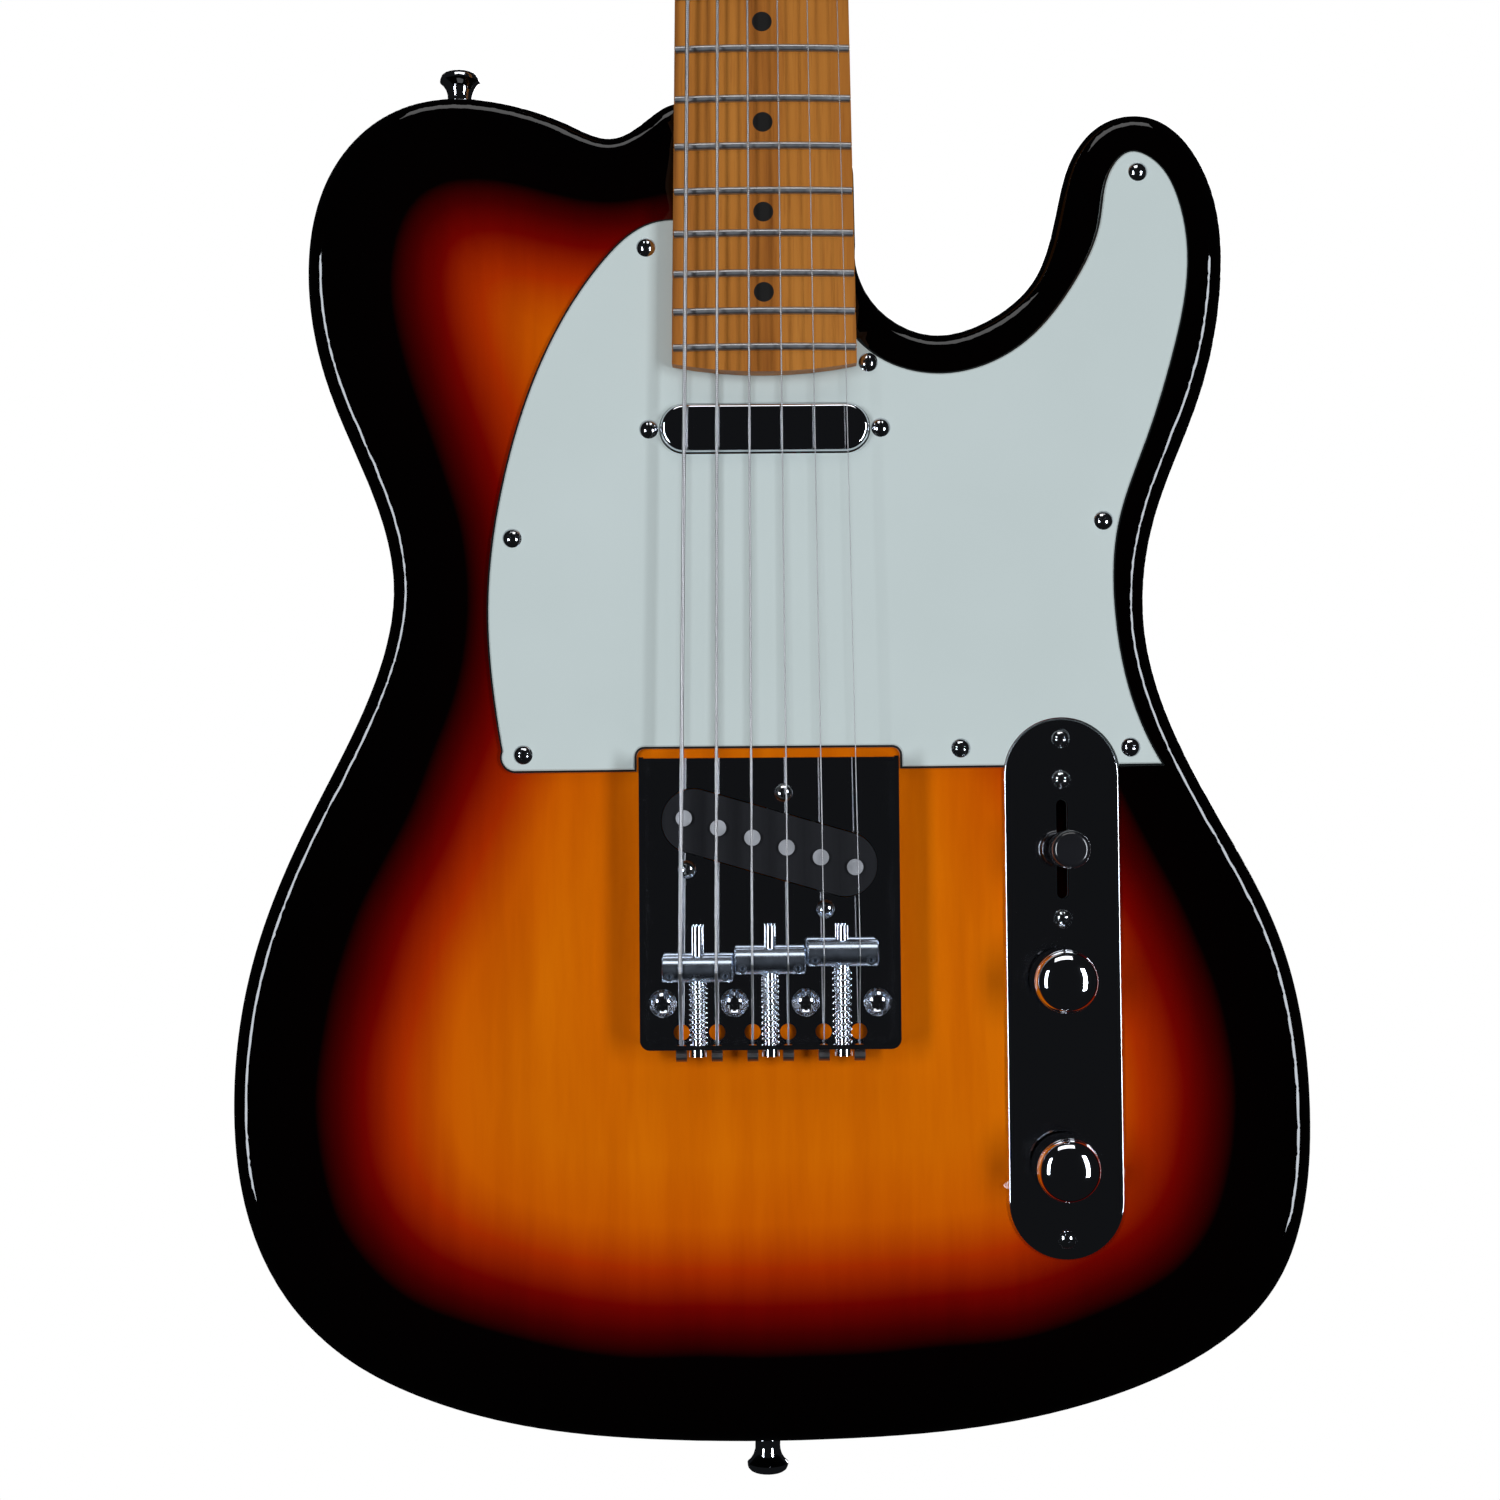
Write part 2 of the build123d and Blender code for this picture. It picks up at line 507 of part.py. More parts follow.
# ---------------------------------------------------------------- nut
nut_floor = CROWN - NUT_SLOT_DEPTH
fretboard -= block(-40, 40, SCALE_LENGTH, SCALE_LENGTH + NUT_LENGTH, nut_floor, CROWN + 2)
nut_y = SCALE_LENGTH + 2.3
nut_solid = Pos(0, nut_y, BOARD_AXIS) * Rot(90, 0, 0) * Cylinder(FRETBOARD_RADIUS + NUT_CROWN, 40)
string_nut = block(-half_width(nut_y), half_width(nut_y), SCALE_LENGTH, SCALE_LENGTH + NUT_LENGTH,
                   nut_floor, CROWN + 4) & nut_solid


def nut_point(index):
    """Centre of a string where it leaves the nut."""
    x = string_x(index, SCALE_LENGTH)
    r = STRING_DIAMETERS[index] / 2
    return (x, SCALE_LENGTH, CROWN + NUT_REST_HEIGHT + r - x * x / (2 * FRETBOARD_RADIUS))


# ---------------------------------------------------------------- truss rod
truss_rod = rod((0, TRUSS_START_Y, truss_z), (0, SHAFT_END_Y, truss_z), TRUSS_RADIUS)
truss_rod += rod((0, SHAFT_END_Y, truss_z), (0, TRUSS_NUT_END_Y, truss_z), 3.2)
hex_key_place = Plane(origin=(0, TRUSS_NUT_END_Y + 0.1, truss_z), z_dir=(0, -1, 0))
hex_key = hex_key_place * extrude(RegularPolygon(1.9, 6), 6)
truss_rod -= hex_key

# ---------------------------------------------------------------- neck plate and screws
neck_plate = Pos(0, NECK_BOLT_Y, -NECK_PLATE_THICKNESS) * extrude(
    RectangleRounded(*NECK_PLATE_SIZE), NECK_PLATE_THICKNESS)
neck_plate = fillet(neck_plate.edges().group_by(Axis.Z)[0], 0.8)
neck_screws = []
for px, py in NECK_SCREW_POINTS:
    neck_plate -= disc(NECK_SCREW[0] + FIT, NECK_PLATE_THICKNESS + 1, (px, py, -NECK_PLATE_THICKNESS - 0.5))
    neck_screws.append(screw(NECK_SCREW, (px, py, -NECK_PLATE_THICKNESS), (0, 0, 1)))

# ================================================================ pickguard
guard_left = Spline((-27.4, 223), (-37, 220.9), (-49, 210.6), (-65, 186), (-79.5, 143.5), (-84.3, 104),
                    (-82.4, 77), (-80, 61.5))
guard_right = Spline((119.4, 55.9), (110.5, 75.5), (105.8, 100), (107, 129), (115.7, 154.2), (124.3, 181.2),
                     (129, 207), (126, 229.5), (119.1, 240.3), (111.5, 243), (105.3, 237.3), (101.7, 221.2),
                     (93.2, 202), (77.5, 184), (55.5, 175.6), (40.5, 177.8), (27.4, 187.2))
guard_face = make_face([
    guard_left,
    ThreePointArc((-80, 61.5), (-79.2, 56.6), (-76, 55)),
    Line((-76, 55), (119.4, 55.9)),
    guard_right,
    Line((27.4, 187.2), (27.4, 223)),
    Line((27.4, 223), (-27.4, 223))])
notch = Pos(BRIDGE_X, NOTCH_TOP - 10) * RectangleRounded(BRIDGE_WIDTH + 2 * NOTCH_GAP, 20, 2.4)
guard_face -= notch
pickguard = prism(guard_face, FRONT, GUARD_TOP)
pickguard = chamfer(pickguard.edges().group_by(Axis.Z)[-1], GUARD_BEVEL)
pickguard -= prism(neck_plan(HEEL_END_Y - PLATE_GAP, 300, PLATE_GAP, HEEL_CORNER_R), FRONT - 1, GUARD_TOP + 1)
control_outline = control_place * upright_slot * slot_face(CONTROL_LENGTH + 0.6, CONTROL_WIDTH + 0.6)
pickguard -= prism(control_outline, FRONT - 1, GUARD_TOP + 1)
pickguard -= Pos(0, NECK_PICKUP_Y, 0) * prism(
    slot_face(NECK_COVER_LENGTH + 0.8, NECK_COVER_WIDTH + 0.8), FRONT - 1, GUARD_TOP + 1)
PICKUP_GUARD_POINTS = [(s * PICKUP_SCREW_X, NECK_PICKUP_Y) for s in (-1, 1)]
for px, py in GUARD_SCREW_POINTS + PICKUP_GUARD_POINTS:
    pickguard -= disc(COVER_SCREW[0] + FIT, 4, (px, py, FRONT - 1))

# ================================================================ pickups
cover_slot = slot_face(NECK_COVER_LENGTH, NECK_COVER_WIDTH)
cover_top = GUARD_TOP + NECK_COVER_RISE
cover_base = cover_top - NECK_COVER_DEPTH
neck_pickup_cover = prism(cover_slot, cover_base, cover_top)
neck_pickup_cover = fillet(neck_pickup_cover.edges().group_by(Axis.Z)[-1], 1.6)
neck_pickup_cover -= prism(
    slot_face(NECK_COVER_LENGTH - 2 * COVER_WALL, NECK_COVER_WIDTH - 2 * COVER_WALL),
    cover_base - 1, cover_top - COVER_WALL - 0.4)
neck_pickup_cover = Pos(0, NECK_PICKUP_Y, 0) * neck_pickup_cover


def bobbin(length, width, top):
    """Top and bottom flats of a single-coil bobbin."""
    flats = prism(slot_face(length, width), top - FLAT_THICKNESS, top)
    low = top - FLAT_THICKNESS - COIL_HEIGHT
    flats += prism(slot_face(length, width), low - FLAT_THICKNESS, low)
    flats += prism(slot_face(60, 6.6), low - 0.1, top - FLAT_THICKNESS + 0.1)
    return flats


def pole_rods(top, reach):
    return [disc(POLE_RADIUS, reach, (POLE_PITCH * (i - 2.5), 0, top - reach)) for i in range(6)]


def pole_holes(top):
    return [disc(POLE_RADIUS + FIT, 40, (POLE_PITCH * (i - 2.5), 0, top - 38)) for i in range(6)]


def coil(width, top):
    high = top - FLAT_THICKNESS - 0.05
    low = high - COIL_HEIGHT + 0.1
    ring = prism(slot_face(60 + width, 6.8 + width), low, high)
    return ring - prism(slot_face(60.2, 6.8), low - 1, high + 1)


neck_place = Pos(0, NECK_PICKUP_Y, 0)
neck_bobbin_top = cover_top - COVER_WALL - 0.6
neck_bobbin_low = neck_bobbin_top - 2 * FLAT_THICKNESS - COIL_HEIGHT
neck_bobbin = bobbin(61.6, 13.2, neck_bobbin_top)
bridge_bobbin_top = FRONT + BRIDGE_BOBBIN_RISE
bridge_bobbin_low = bridge_bobbin_top - 2 * FLAT_THICKNESS - COIL_HEIGHT
bridge_bobbin = bobbin(BRIDGE_BOBBIN_LENGTH, BRIDGE_BOBBIN_WIDTH, bridge_bobbin_top)
for neck_hole, bridge_hole in zip(pole_holes(neck_bobbin_top), pole_holes(bridge_bobbin_top)):
    neck_bobbin -= neck_hole
    bridge_bobbin -= bridge_hole
magnets = [neck_place * m for m in pole_rods(neck_bobbin_top - 0.1, NECK_POLE_REACH)]
magnets += [bridge_place * m for m in pole_rods(bridge_bobbin_top + 1.0, BRIDGE_POLE_REACH)]
coils = [neck_place * coil(0.6, neck_bobbin_top), bridge_place * coil(5.0, bridge_bobbin_top)]
bobbins = [neck_place * neck_bobbin, bridge_place * bridge_bobbin]

# the base plates carry the ears that the height screws thread into
neck_base_top = min(neck_bobbin_low, cover_base)
neck_baseplate = prism(slot_face(78, 13), neck_base_top - BASEPLATE_THICKNESS, neck_base_top)
bridge_baseplate_face = slot_face(BRIDGE_BOBBIN_LENGTH, BRIDGE_BOBBIN_WIDTH)
for ex, ey in BRIDGE_PICKUP_SCREWS:
    bridge_baseplate_face += Pos(ex, ey) * Circle(3.6) + Pos(ex, ey / 2) * Rectangle(7.2, abs(ey))
bridge_baseplate = prism(bridge_baseplate_face, bridge_bobbin_low - BASEPLATE_THICKNESS, bridge_bobbin_low)
for sx in (-1, 1):
    neck_baseplate -= disc(COVER_SCREW[0] + FIT, 4, (sx * PICKUP_SCREW_X, 0, neck_base_top - 3))
bridge_pickup_screws = []
for ex, ey in BRIDGE_PICKUP_SCREWS:
    bridge_baseplate -= disc(PICKUP_SCREW[0] + FIT, 4, (ex, ey, bridge_bobbin_low - 3))
    bridge_pickup_screws.append(bridge_place * screw(PICKUP_SCREW, (ex, ey, BRIDGE_TOP)))
baseplates = [neck_place * neck_baseplate, bridge_place * bridge_baseplate]
NECK_PICKUP_SCREW = (COVER_SCREW[0], GUARD_TOP - neck_base_top + 3.0, COVER_SCREW[2], COVER_SCREW[3])

# ================================================================ bridge
bx0 = BRIDGE_X - BRIDGE_WIDTH / 2
bx1 = BRIDGE_X + BRIDGE_WIDTH / 2
wall_top = FRONT + BRIDGE_WALL_HEIGHT
bridge_plate = block(bx0, bx1, BRIDGE_REAR_Y, BRIDGE_FRONT_Y, FRONT, wall_top)
rear_corners = bridge_plate.edges().filter_by(Axis.Z).group_by(Axis.Y)[0]
bridge_plate = fillet(rear_corners, BRIDGE_CORNER_R)
inner = block(bx0 + BRIDGE_WALL, bx1 - BRIDGE_WALL, BRIDGE_REAR_Y + BRIDGE_WALL, BRIDGE_FRONT_Y + 5,
              BRIDGE_TOP, wall_top + 5)
inner_corners = inner.edges().filter_by(Axis.Z).group_by(Axis.Y)[0]
bridge_plate -= fillet(inner_corners, BRIDGE_CORNER_R - BRIDGE_WALL)
bridge_plate -= bridge_place * prism(
    slot_face(BRIDGE_BOBBIN_LENGTH + 0.8, BRIDGE_BOBBIN_WIDTH + 0.8), FRONT - 1, BRIDGE_TOP + 1)
for ex, ey in BRIDGE_PICKUP_SCREWS:
    bridge_plate -= bridge_place * disc(PICKUP_SCREW[0] + 0.1, 4, (ex, ey, FRONT - 1))
for px, py in BRIDGE_SCREW_POINTS:
    bridge_plate -= disc(BRIDGE_SCREW[0] + FIT, 4, (px, py, FRONT - 1))


def string_tail_x(index):
    return BRIDGE_X + SPACING_SADDLE * (index / 5 - 0.5)


for i in range(6):
    bridge_plate -= disc(PLATE_HOLE_RADIUS, 4, (string_tail_x(i), BODY_STRING_HOLE_Y, FRONT - 1))
    bridge_plate -= rod((string_tail_x(i), BRIDGE_REAR_Y - 2, TAIL_Z),
                        (string_tail_x(i), BRIDGE_REAR_Y + 4, TAIL_Z), 1.2)

# ---------------------------------------------------------------- saddles, springs, intonation screws
SADDLE_NAMES = ("bass", "middle", "treble")
intonation_screws = []
saddles = {}
springs = {}
for k, name in enumerate(SADDLE_NAMES):
    sx = BRIDGE_X + SADDLE_PITCH * (k - 1)
    sy = SADDLE_Y[k]
    hole_start = (sx, BRIDGE_REAR_Y - 1, SADDLE_Z)
    bridge_plate -= rod(hole_start, (sx, BRIDGE_REAR_Y + 3, SADDLE_Z), INTONATION_RADIUS + FIT)
    bolt = rod((sx, BRIDGE_REAR_Y, SADDLE_Z), (sx, INTONATION_TIP_Y, SADDLE_Z), INTONATION_RADIUS)
    head_disc = rod((sx, BRIDGE_REAR_Y - 2, SADDLE_Z), (sx, BRIDGE_REAR_Y, SADDLE_Z), 2.6)
    cross_y = (BRIDGE_REAR_Y - 2.2, BRIDGE_REAR_Y - 1)
    cross = block(sx - 1.6, sx + 1.6, *cross_y, SADDLE_Z - 0.35, SADDLE_Z + 0.35)
    cross += block(sx - 0.35, sx + 0.35, *cross_y, SADDLE_Z - 1.6, SADDLE_Z + 1.6)
    intonation_screws.append(bolt + head_disc - cross)
    barrel = rod((sx - SADDLE_LENGTH / 2, sy, SADDLE_Z), (sx + SADDLE_LENGTH / 2, sy, SADDLE_Z),
                 SADDLE_RADIUS)
    barrel = chamfer(barrel.edges().filter_by(GeomType.CIRCLE), 0.4)
    barrel -= rod((sx, sy - 6, SADDLE_Z), (sx, sy + 6, SADDLE_Z), INTONATION_RADIUS + RUNNING_FIT)
    grubs = []
    for side in (-1, 1):
        gx = sx + side * GRUB_SPREAD
        gy = sy - GRUB_SETBACK
        grub_foot = BRIDGE_TOP + RUNNING_FIT
        grub_top = SADDLE_Z + SADDLE_RADIUS - 0.6
        barrel -= disc(GRUB_RADIUS + FIT, 14, (gx, gy, BRIDGE_TOP))
        grub = disc(GRUB_RADIUS, grub_top - grub_foot, (gx, gy, grub_foot))
        grub -= Pos(gx, gy, grub_top - 1.2) * extrude(RegularPolygon(0.8, 6), 2)
        grubs.append(grub)
    saddles[name] = [barrel] + grubs
    spring_start = BRIDGE_REAR_Y + BRIDGE_WALL + SPRING_WIRE / 2 + 0.05
    spring_end = sy - SADDLE_RADIUS - SPRING_WIRE / 2 - 0.05
    pitch = (spring_end - spring_start) / SPRING_TURNS
    helix = Helix(pitch, spring_end - spring_start, SPRING_RADIUS)
    wire = Plane(origin=helix @ 0, z_dir=helix % 0) * Circle(SPRING_WIRE / 2)
    coil_spring = sweep(wire, helix)
    springs[name] = Plane(origin=(sx, spring_start, SADDLE_Z), z_dir=(0, 1, 0)) * coil_spring

# ================================================================ strings
def tail_bend(index, r):
    """Point and height where a string's tail meets the circle over its saddle."""
    sy = SADDLE_Y[index // 2]
    reach = SADDLE_RADIUS + r + 0.03
    dy = BRIDGE_REAR_Y - sy
    dz = TAIL_Z - SADDLE_Z
    away = hypot(dy, dz)
    turn = (atan2(dz, dy) - acos(reach / away)) % radians(360)
    return sy, reach, turn


strings = {name: [] for name in SADDLE_NAMES}
tree_points = {}
string_trees = []
for i, diameter in enumerate(STRING_DIAMETERS):
    r = diameter / 2
    sy, reach, turn = tail_bend(i, r)
    x_tail = string_tail_x(i)
    path = [(x_tail, BRIDGE_REAR_Y - 0.6, TAIL_Z - 0.2)]
    path.append((x_tail, sy + reach * cos(turn), SADDLE_Z + reach * sin(turn)))
    bend_steps = 3
    for step in range(1, bend_steps + 1):
        a = turn + (radians(90) - turn) * step / bend_steps
        path.append((x_tail, sy + reach * cos(a), SADDLE_Z + reach * sin(a) + 0.06))
    path.append(nut_point(i))
    nx, ny, nz = nut_point(i)
    path.append((nx, ny + NUT_LENGTH, nz - 0.05))
    post_x, post_y = post_point(i)
    wrap_r = POST_RADIUS + RUNNING_FIT + r
    touch_x = post_x + wrap_r
    wrap_z = FACE + WRAP_HEIGHT
    if i >= 4:
        share = (TREE_Y - ny) / (post_y - ny)
        tree_x = nx + (touch_x - nx) * share
        tree_z = FACE + 4.4
        path.append((tree_x, TREE_Y, tree_z))
        tree_points[i] = (tree_x, tree_z, r)
    path.append((touch_x, post_y - 0.1, wrap_z))
    wire = swept_wire(path, r)
    turns = 2 if diameter > 0.6 else WRAP_TURNS
    winding = Helix(diameter * 1.04, diameter * 1.04 * turns, wrap_r, direction=(0, 0, -1), lefthand=True)
    winding_section = Plane(origin=winding @ 0, z_dir=winding % 0) * Circle(r)
    wraps = Pos(post_x, post_y, wrap_z) * sweep(winding_section, winding)
    ball_place = Plane(origin=(x_tail - BALL_WIDTH / 2, BRIDGE_REAR_Y - 0.1 - BALL_RADIUS, TAIL_Z),
                       z_dir=(1, 0, 0))
    ball = ball_place * (
        Cylinder(BALL_RADIUS, BALL_WIDTH, align=UP) - Cylinder(0.9, BALL_WIDTH, align=UP))
    strings[SADDLE_NAMES[i // 2]] += [wire, wraps, ball]
    string_nut -= rod((nx, ny - 2, nz + 0.02), (nx, ny + NUT_LENGTH + 2, nz - 0.03), r + 0.06)
    string_nut -= block(nx - r - 0.06, nx + r + 0.06, ny - 2, ny + NUT_LENGTH + 2, nz, nz + 5)

# ---------------------------------------------------------------- string trees
tree_screw_points = []
for left, right in ((4, 5),):
    xl, zl, rl = tree_points[left]
    xr, zr, rr = tree_points[right]
    bar_low = max(zl + rl, zr + rr) + 0.3
    middle = (xl + xr) / 2
    tree = block(xl - 2.4, xr + 2.4, TREE_Y - 2.5, TREE_Y + 2.5, bar_low, bar_low + 1.2)
    tree = fillet(tree.edges().filter_by(Axis.Z), 1.2)
    tree += disc(2.0, bar_low + 0.2 - FACE, (middle, TREE_Y, FACE))
    tree -= disc(HEAD_SCREW[0] + FIT, 20, (middle, TREE_Y, FACE - 1))
    string_trees.append(tree)
    tree_screw_points.append((middle, TREE_Y, bar_low + 1.2))

# ================================================================ tuners
post_line = Vector(POST_LAST[0] - POST_FIRST[0], POST_LAST[1] - POST_FIRST[1], 0).normalized()
button_dir = Vector(-post_line.Y, post_line.X, 0)
gear_z = HEAD_BACK - HOUSING_DEPTH / 2
housings = []
bushings = []
posts = []
buttons = []
for i in range(6):
    px, py = post_point(i)
    local = Plane(origin=(px, py, 0), x_dir=button_dir, z_dir=(0, 0, 1))
    housing = block(-HOUSING_IN, HOUSING_OUT, -HOUSING_HALF_LENGTH, HOUSING_HALF_LENGTH,
                    HEAD_BACK - HOUSING_DEPTH, HEAD_BACK)
    housing = fillet(housing.edges().filter_by(Axis.Z), 3.0)
    housing = fillet(housing.edges().group_by(Axis.Z)[0], 1.5)
    hollow = block(-HOUSING_IN + HOUSING_WALL, HOUSING_OUT - HOUSING_WALL,
                   -HOUSING_HALF_LENGTH + HOUSING_WALL, 5.6,
                   HEAD_BACK - HOUSING_DEPTH + HOUSING_WALL, HEAD_BACK - HOUSING_WALL)
    housing -= hollow
    housing -= disc(POST_RADIUS + RUNNING_FIT, 20, (0, 0, HEAD_BACK - HOUSING_WALL - 0.5))
    housing -= rod((0, -WORM_OFFSET, gear_z), (30, -WORM_OFFSET, gear_z), WORM_RADIUS + RUNNING_FIT)
    screw_spot = (-2.5, HOUSING_HALF_LENGTH - 2.6, HEAD_BACK - HOUSING_DEPTH)
    housing -= disc(HEAD_SCREW[0] + FIT, 20, screw_spot)
    housings.append(local * housing)
    seat = local.from_local_coords(Vector(*screw_spot))
    hole_in_head = local * disc(HEAD_SCREW[0] + FIT, 6, (screw_spot[0], screw_spot[1], HEAD_BACK - 1))
    neck -= hole_in_head
    tuner_screw = (HEAD_SCREW[0], HOUSING_DEPTH + 4.0, HEAD_SCREW[2], HEAD_SCREW[3])
    bushings.append((local, tuner_screw, seat))
    gear = disc(GEAR_RADIUS, GEAR_THICKNESS, (0, 0, gear_z - GEAR_THICKNESS / 2))
    post_top = FACE + POST_ABOVE_FACE
    post = disc(POST_RADIUS, post_top - gear_z, (0, 0, gear_z))
    post = chamfer(post.edges().group_by(Axis.Z)[-1], 0.5) + gear
    post -= block(-0.7, 0.7, -5, 5, post_top - 2.2, post_top + 1)
    post -= disc(1.0, 4, (0, 0, post_top - 5))
    posts.append(local * post)
    neck -= local * disc(POST_RADIUS + 1.0, 30, (0, 0, HEAD_BACK - 1))
    worm = rod((-HOUSING_IN + HOUSING_WALL + 0.3, -WORM_OFFSET, gear_z),
               (BUTTON_START + 3, -WORM_OFFSET, gear_z), WORM_RADIUS)
    key_face = Plane(origin=(BUTTON_START, -WORM_OFFSET, gear_z), x_dir=(1, 0, 0), z_dir=(0, 0, 1))
    key = key_face * extrude(Pos(BUTTON_LENGTH / 2, 0) * Ellipse(BUTTON_LENGTH / 2, BUTTON_WIDTH / 2),
                             BUTTON_THICKNESS / 2, both=True)
    key = fillet(key.edges(), 1.6)
    key += rod((BUTTON_START - 2.5, -WORM_OFFSET, gear_z), (BUTTON_START + 4, -WORM_OFFSET, gear_z), 3.0)
    buttons.append(local * (worm + key))

bushing_solids = []
tuner_screws = []
for local, size, seat in bushings:
    collar = disc(POST_RADIUS + 0.95, HEADSTOCK_THICKNESS, (0, 0, HEAD_BACK))
    nut_body = Pos(0, 0, FACE) * extrude(RegularPolygon(BUSHING_RADIUS, 6), BUSHING_HEIGHT)
    washer = disc(BUSHING_RADIUS + 0.9, 0.5, (0, 0, FACE))
    collar += nut_body + washer
    collar -= disc(POST_RADIUS + RUNNING_FIT, 40, (0, 0, HEAD_BACK - 5))
    bushing_solids.append(local * collar)
    tuner_screws.append(screw(size, tuple(seat), (0, 0, 1)))
tree_screws = []
for seat in tree_screw_points:
    size = (HEAD_SCREW[0], seat[2] - FACE + 6.0, HEAD_SCREW[2], HEAD_SCREW[3])
    tree_screws.append(screw(size, seat))
    neck -= disc(HEAD_SCREW[0] + FIT, 7, (seat[0], seat[1], FACE - 6.5))

# ================================================================ controls
control_plate = control_place * upright_slot * prism(
    slot_face(CONTROL_LENGTH, CONTROL_WIDTH), FRONT, CONTROL_TOP)
control_plate = fillet(control_plate.edges().group_by(Axis.Z)[-1], 0.5)
switch_place = Pos(CONTROL_X, SWITCH_Y, 0)
control_plate -= switch_place * upright_slot * prism(
    slot_face(SLOT_LENGTH, SLOT_WIDTH), FRONT - 1, CONTROL_TOP + 1)
for px, py in CONTROL_SCREW_POINTS + SWITCH_SCREW_POINTS:
    control_plate -= disc(COVER_SCREW[0] + FIT, 4, (px, py, FRONT - 1))
pot_cases = []
threaded_nuts = []
knobs = []
shafts = []
knob_foot = FRONT + KNOB_BASE
for ky in KNOB_YS:
    spot = Pos(KNOB_X, ky, 0)
    control_plate -= spot * disc(POT_BUSHING_RADIUS + FIT, 4, (0, 0, FRONT - 1))
    pot_top = FRONT - 1.0
    case = disc(POT_RADIUS, POT_HEIGHT, (0, 0, pot_top - POT_HEIGHT))
    case = fillet(case.edges().group_by(Axis.Z)[0], 1.2)
    case += disc(7.0, 1.0, (0, 0, pot_top))
    case += disc(POT_BUSHING_RADIUS, CONTROL_TOP + NUT_THICKNESS + 0.6 - pot_top, (0, 0, pot_top))
    case += block(-5, 5, -POT_RADIUS - 4, -POT_RADIUS + 1, pot_top - 2, pot_top - 1)
    case -= disc(POT_RADIUS - 1.2, POT_HEIGHT - 2.4, (0, 0, pot_top - POT_HEIGHT + 1.2))
    case -= disc(SHAFT_RADIUS + RUNNING_FIT, 30, (0, 0, pot_top - 2))
    pot_cases.append(spot * case)
    hex_nut = Pos(0, 0, CONTROL_TOP) * extrude(RegularPolygon(NUT_RADIUS, 6), NUT_THICKNESS)
    threaded_nuts.append(spot * (hex_nut - disc(POT_BUSHING_RADIUS + FIT, 10, (0, 0, FRONT))))
    shaft_foot = pot_top - POT_HEIGHT + 3.0
    shaft_top = knob_foot + KNOB_HEIGHT - 5.0
    shaft_piece = disc(SHAFT_RADIUS, shaft_top - shaft_foot, (0, 0, shaft_foot))
    shaft_piece += disc(8.0, 1.2, (0, 0, shaft_foot))
    shafts.append(spot * shaft_piece)
    knob = disc(KNOB_RADIUS, KNOB_HEIGHT, (0, 0, knob_foot))
    knob = fillet(knob.edges().group_by(Axis.Z)[-1], KNOB_DOME)
    knob -= disc(7.4, 2.0, (0, 0, knob_foot - 0.5))
    knob -= disc(SHAFT_RADIUS + FIT, shaft_top - knob_foot + 0.1, (0, 0, knob_foot))
    knob -= Pos(0, 0, knob_foot + 6.5) * rod((0, -KNOB_RADIUS - 1, 0), (0, 0, 0), 1.3)
    knobs.append(spot * knob)

# ---------------------------------------------------------------- selector switch
frame_top = FRONT
switch_frame = block(-5.5, 5.5, -24, 24, frame_top - 1.2, frame_top)
for side in (-1, 1):
    inner_x = side * FRAME_HALF
    switch_frame += block(min(inner_x, inner_x + side * CHEEK), max(inner_x, inner_x + side * CHEEK),
                          -9, 9, PIVOT_Z - 4, frame_top)
switch_frame += block(FRAME_HALF + CHEEK, FRAME_HALF + CHEEK + 1.4, -19, 19, PIVOT_Z - 8, FRONT - 3)
switch_frame += rod((-FRAME_HALF - CHEEK, 0, PIVOT_Z), (FRAME_HALF + CHEEK, 0, PIVOT_Z), 1.2)
switch_frame -= upright_slot * prism(slot_face(SLOT_LENGTH, SLOT_WIDTH), frame_top - 3, frame_top + 1)
for side in (-1, 1):
    switch_frame -= disc(COVER_SCREW[0] + FIT, 6, (0, side * SWITCH_SCREW_SPREAD, frame_top - 3))
lever = block(-LEVER_THICKNESS / 2, LEVER_THICKNESS / 2, -LEVER_WIDTH / 2, LEVER_WIDTH / 2,
              PIVOT_Z, FRONT + LEVER_TOP)
lever += rod((-3.6, 0, PIVOT_Z), (3.6, 0, PIVOT_Z), 3.4)
lever -= rod((-6, 0, PIVOT_Z), (6, 0, PIVOT_Z), 1.2 + RUNNING_FIT)
tip_foot = FRONT + LEVER_TOP - TIP_HEIGHT + 1.6
tip = disc(TIP_RADIUS, TIP_HEIGHT, (0, 0, tip_foot))
tip = fillet(tip.edges(), 1.8)
tip -= block(-LEVER_THICKNESS / 2 - FIT, LEVER_THICKNESS / 2 + FIT,
             -LEVER_WIDTH / 2 - FIT, LEVER_WIDTH / 2 + FIT, tip_foot - 1, FRONT + LEVER_TOP + FIT)

# ---------------------------------------------------------------- output jack
jack_plate = prism(jack_shape, 0, JACK_PLATE_THICKNESS)
jack_plate = fillet(jack_plate.edges().group_by(Axis.Z)[-1], 0.5)
jack_plate -= disc(JACK_TUBE_RADIUS + FIT, 8, (0, 0, -2))
for side in (-1, 1):
    jack_plate -= disc(COVER_SCREW[0] + FIT, 6, (side * JACK_SCREW_SPREAD, 0, -2))
jack_tube = disc(JACK_TUBE_RADIUS, JACK_TUBE_LENGTH, (0, 0, JACK_PLATE_THICKNESS + 2.8 - JACK_TUBE_LENGTH))
jack_tube += disc(7.0, 1.2, (0, 0, -1.2))
jack_foot = JACK_PLATE_THICKNESS + 2.8 - JACK_TUBE_LENGTH
jack_tube += disc(7.4, 1.6, (0, 0, jack_foot - 1.6))
jack_tube -= disc(JACK_BORE, 40, (0, 0, jack_foot))
jack_tube += block(-2, 2, 5.6, 6.8, jack_foot - 16, jack_foot - 1)
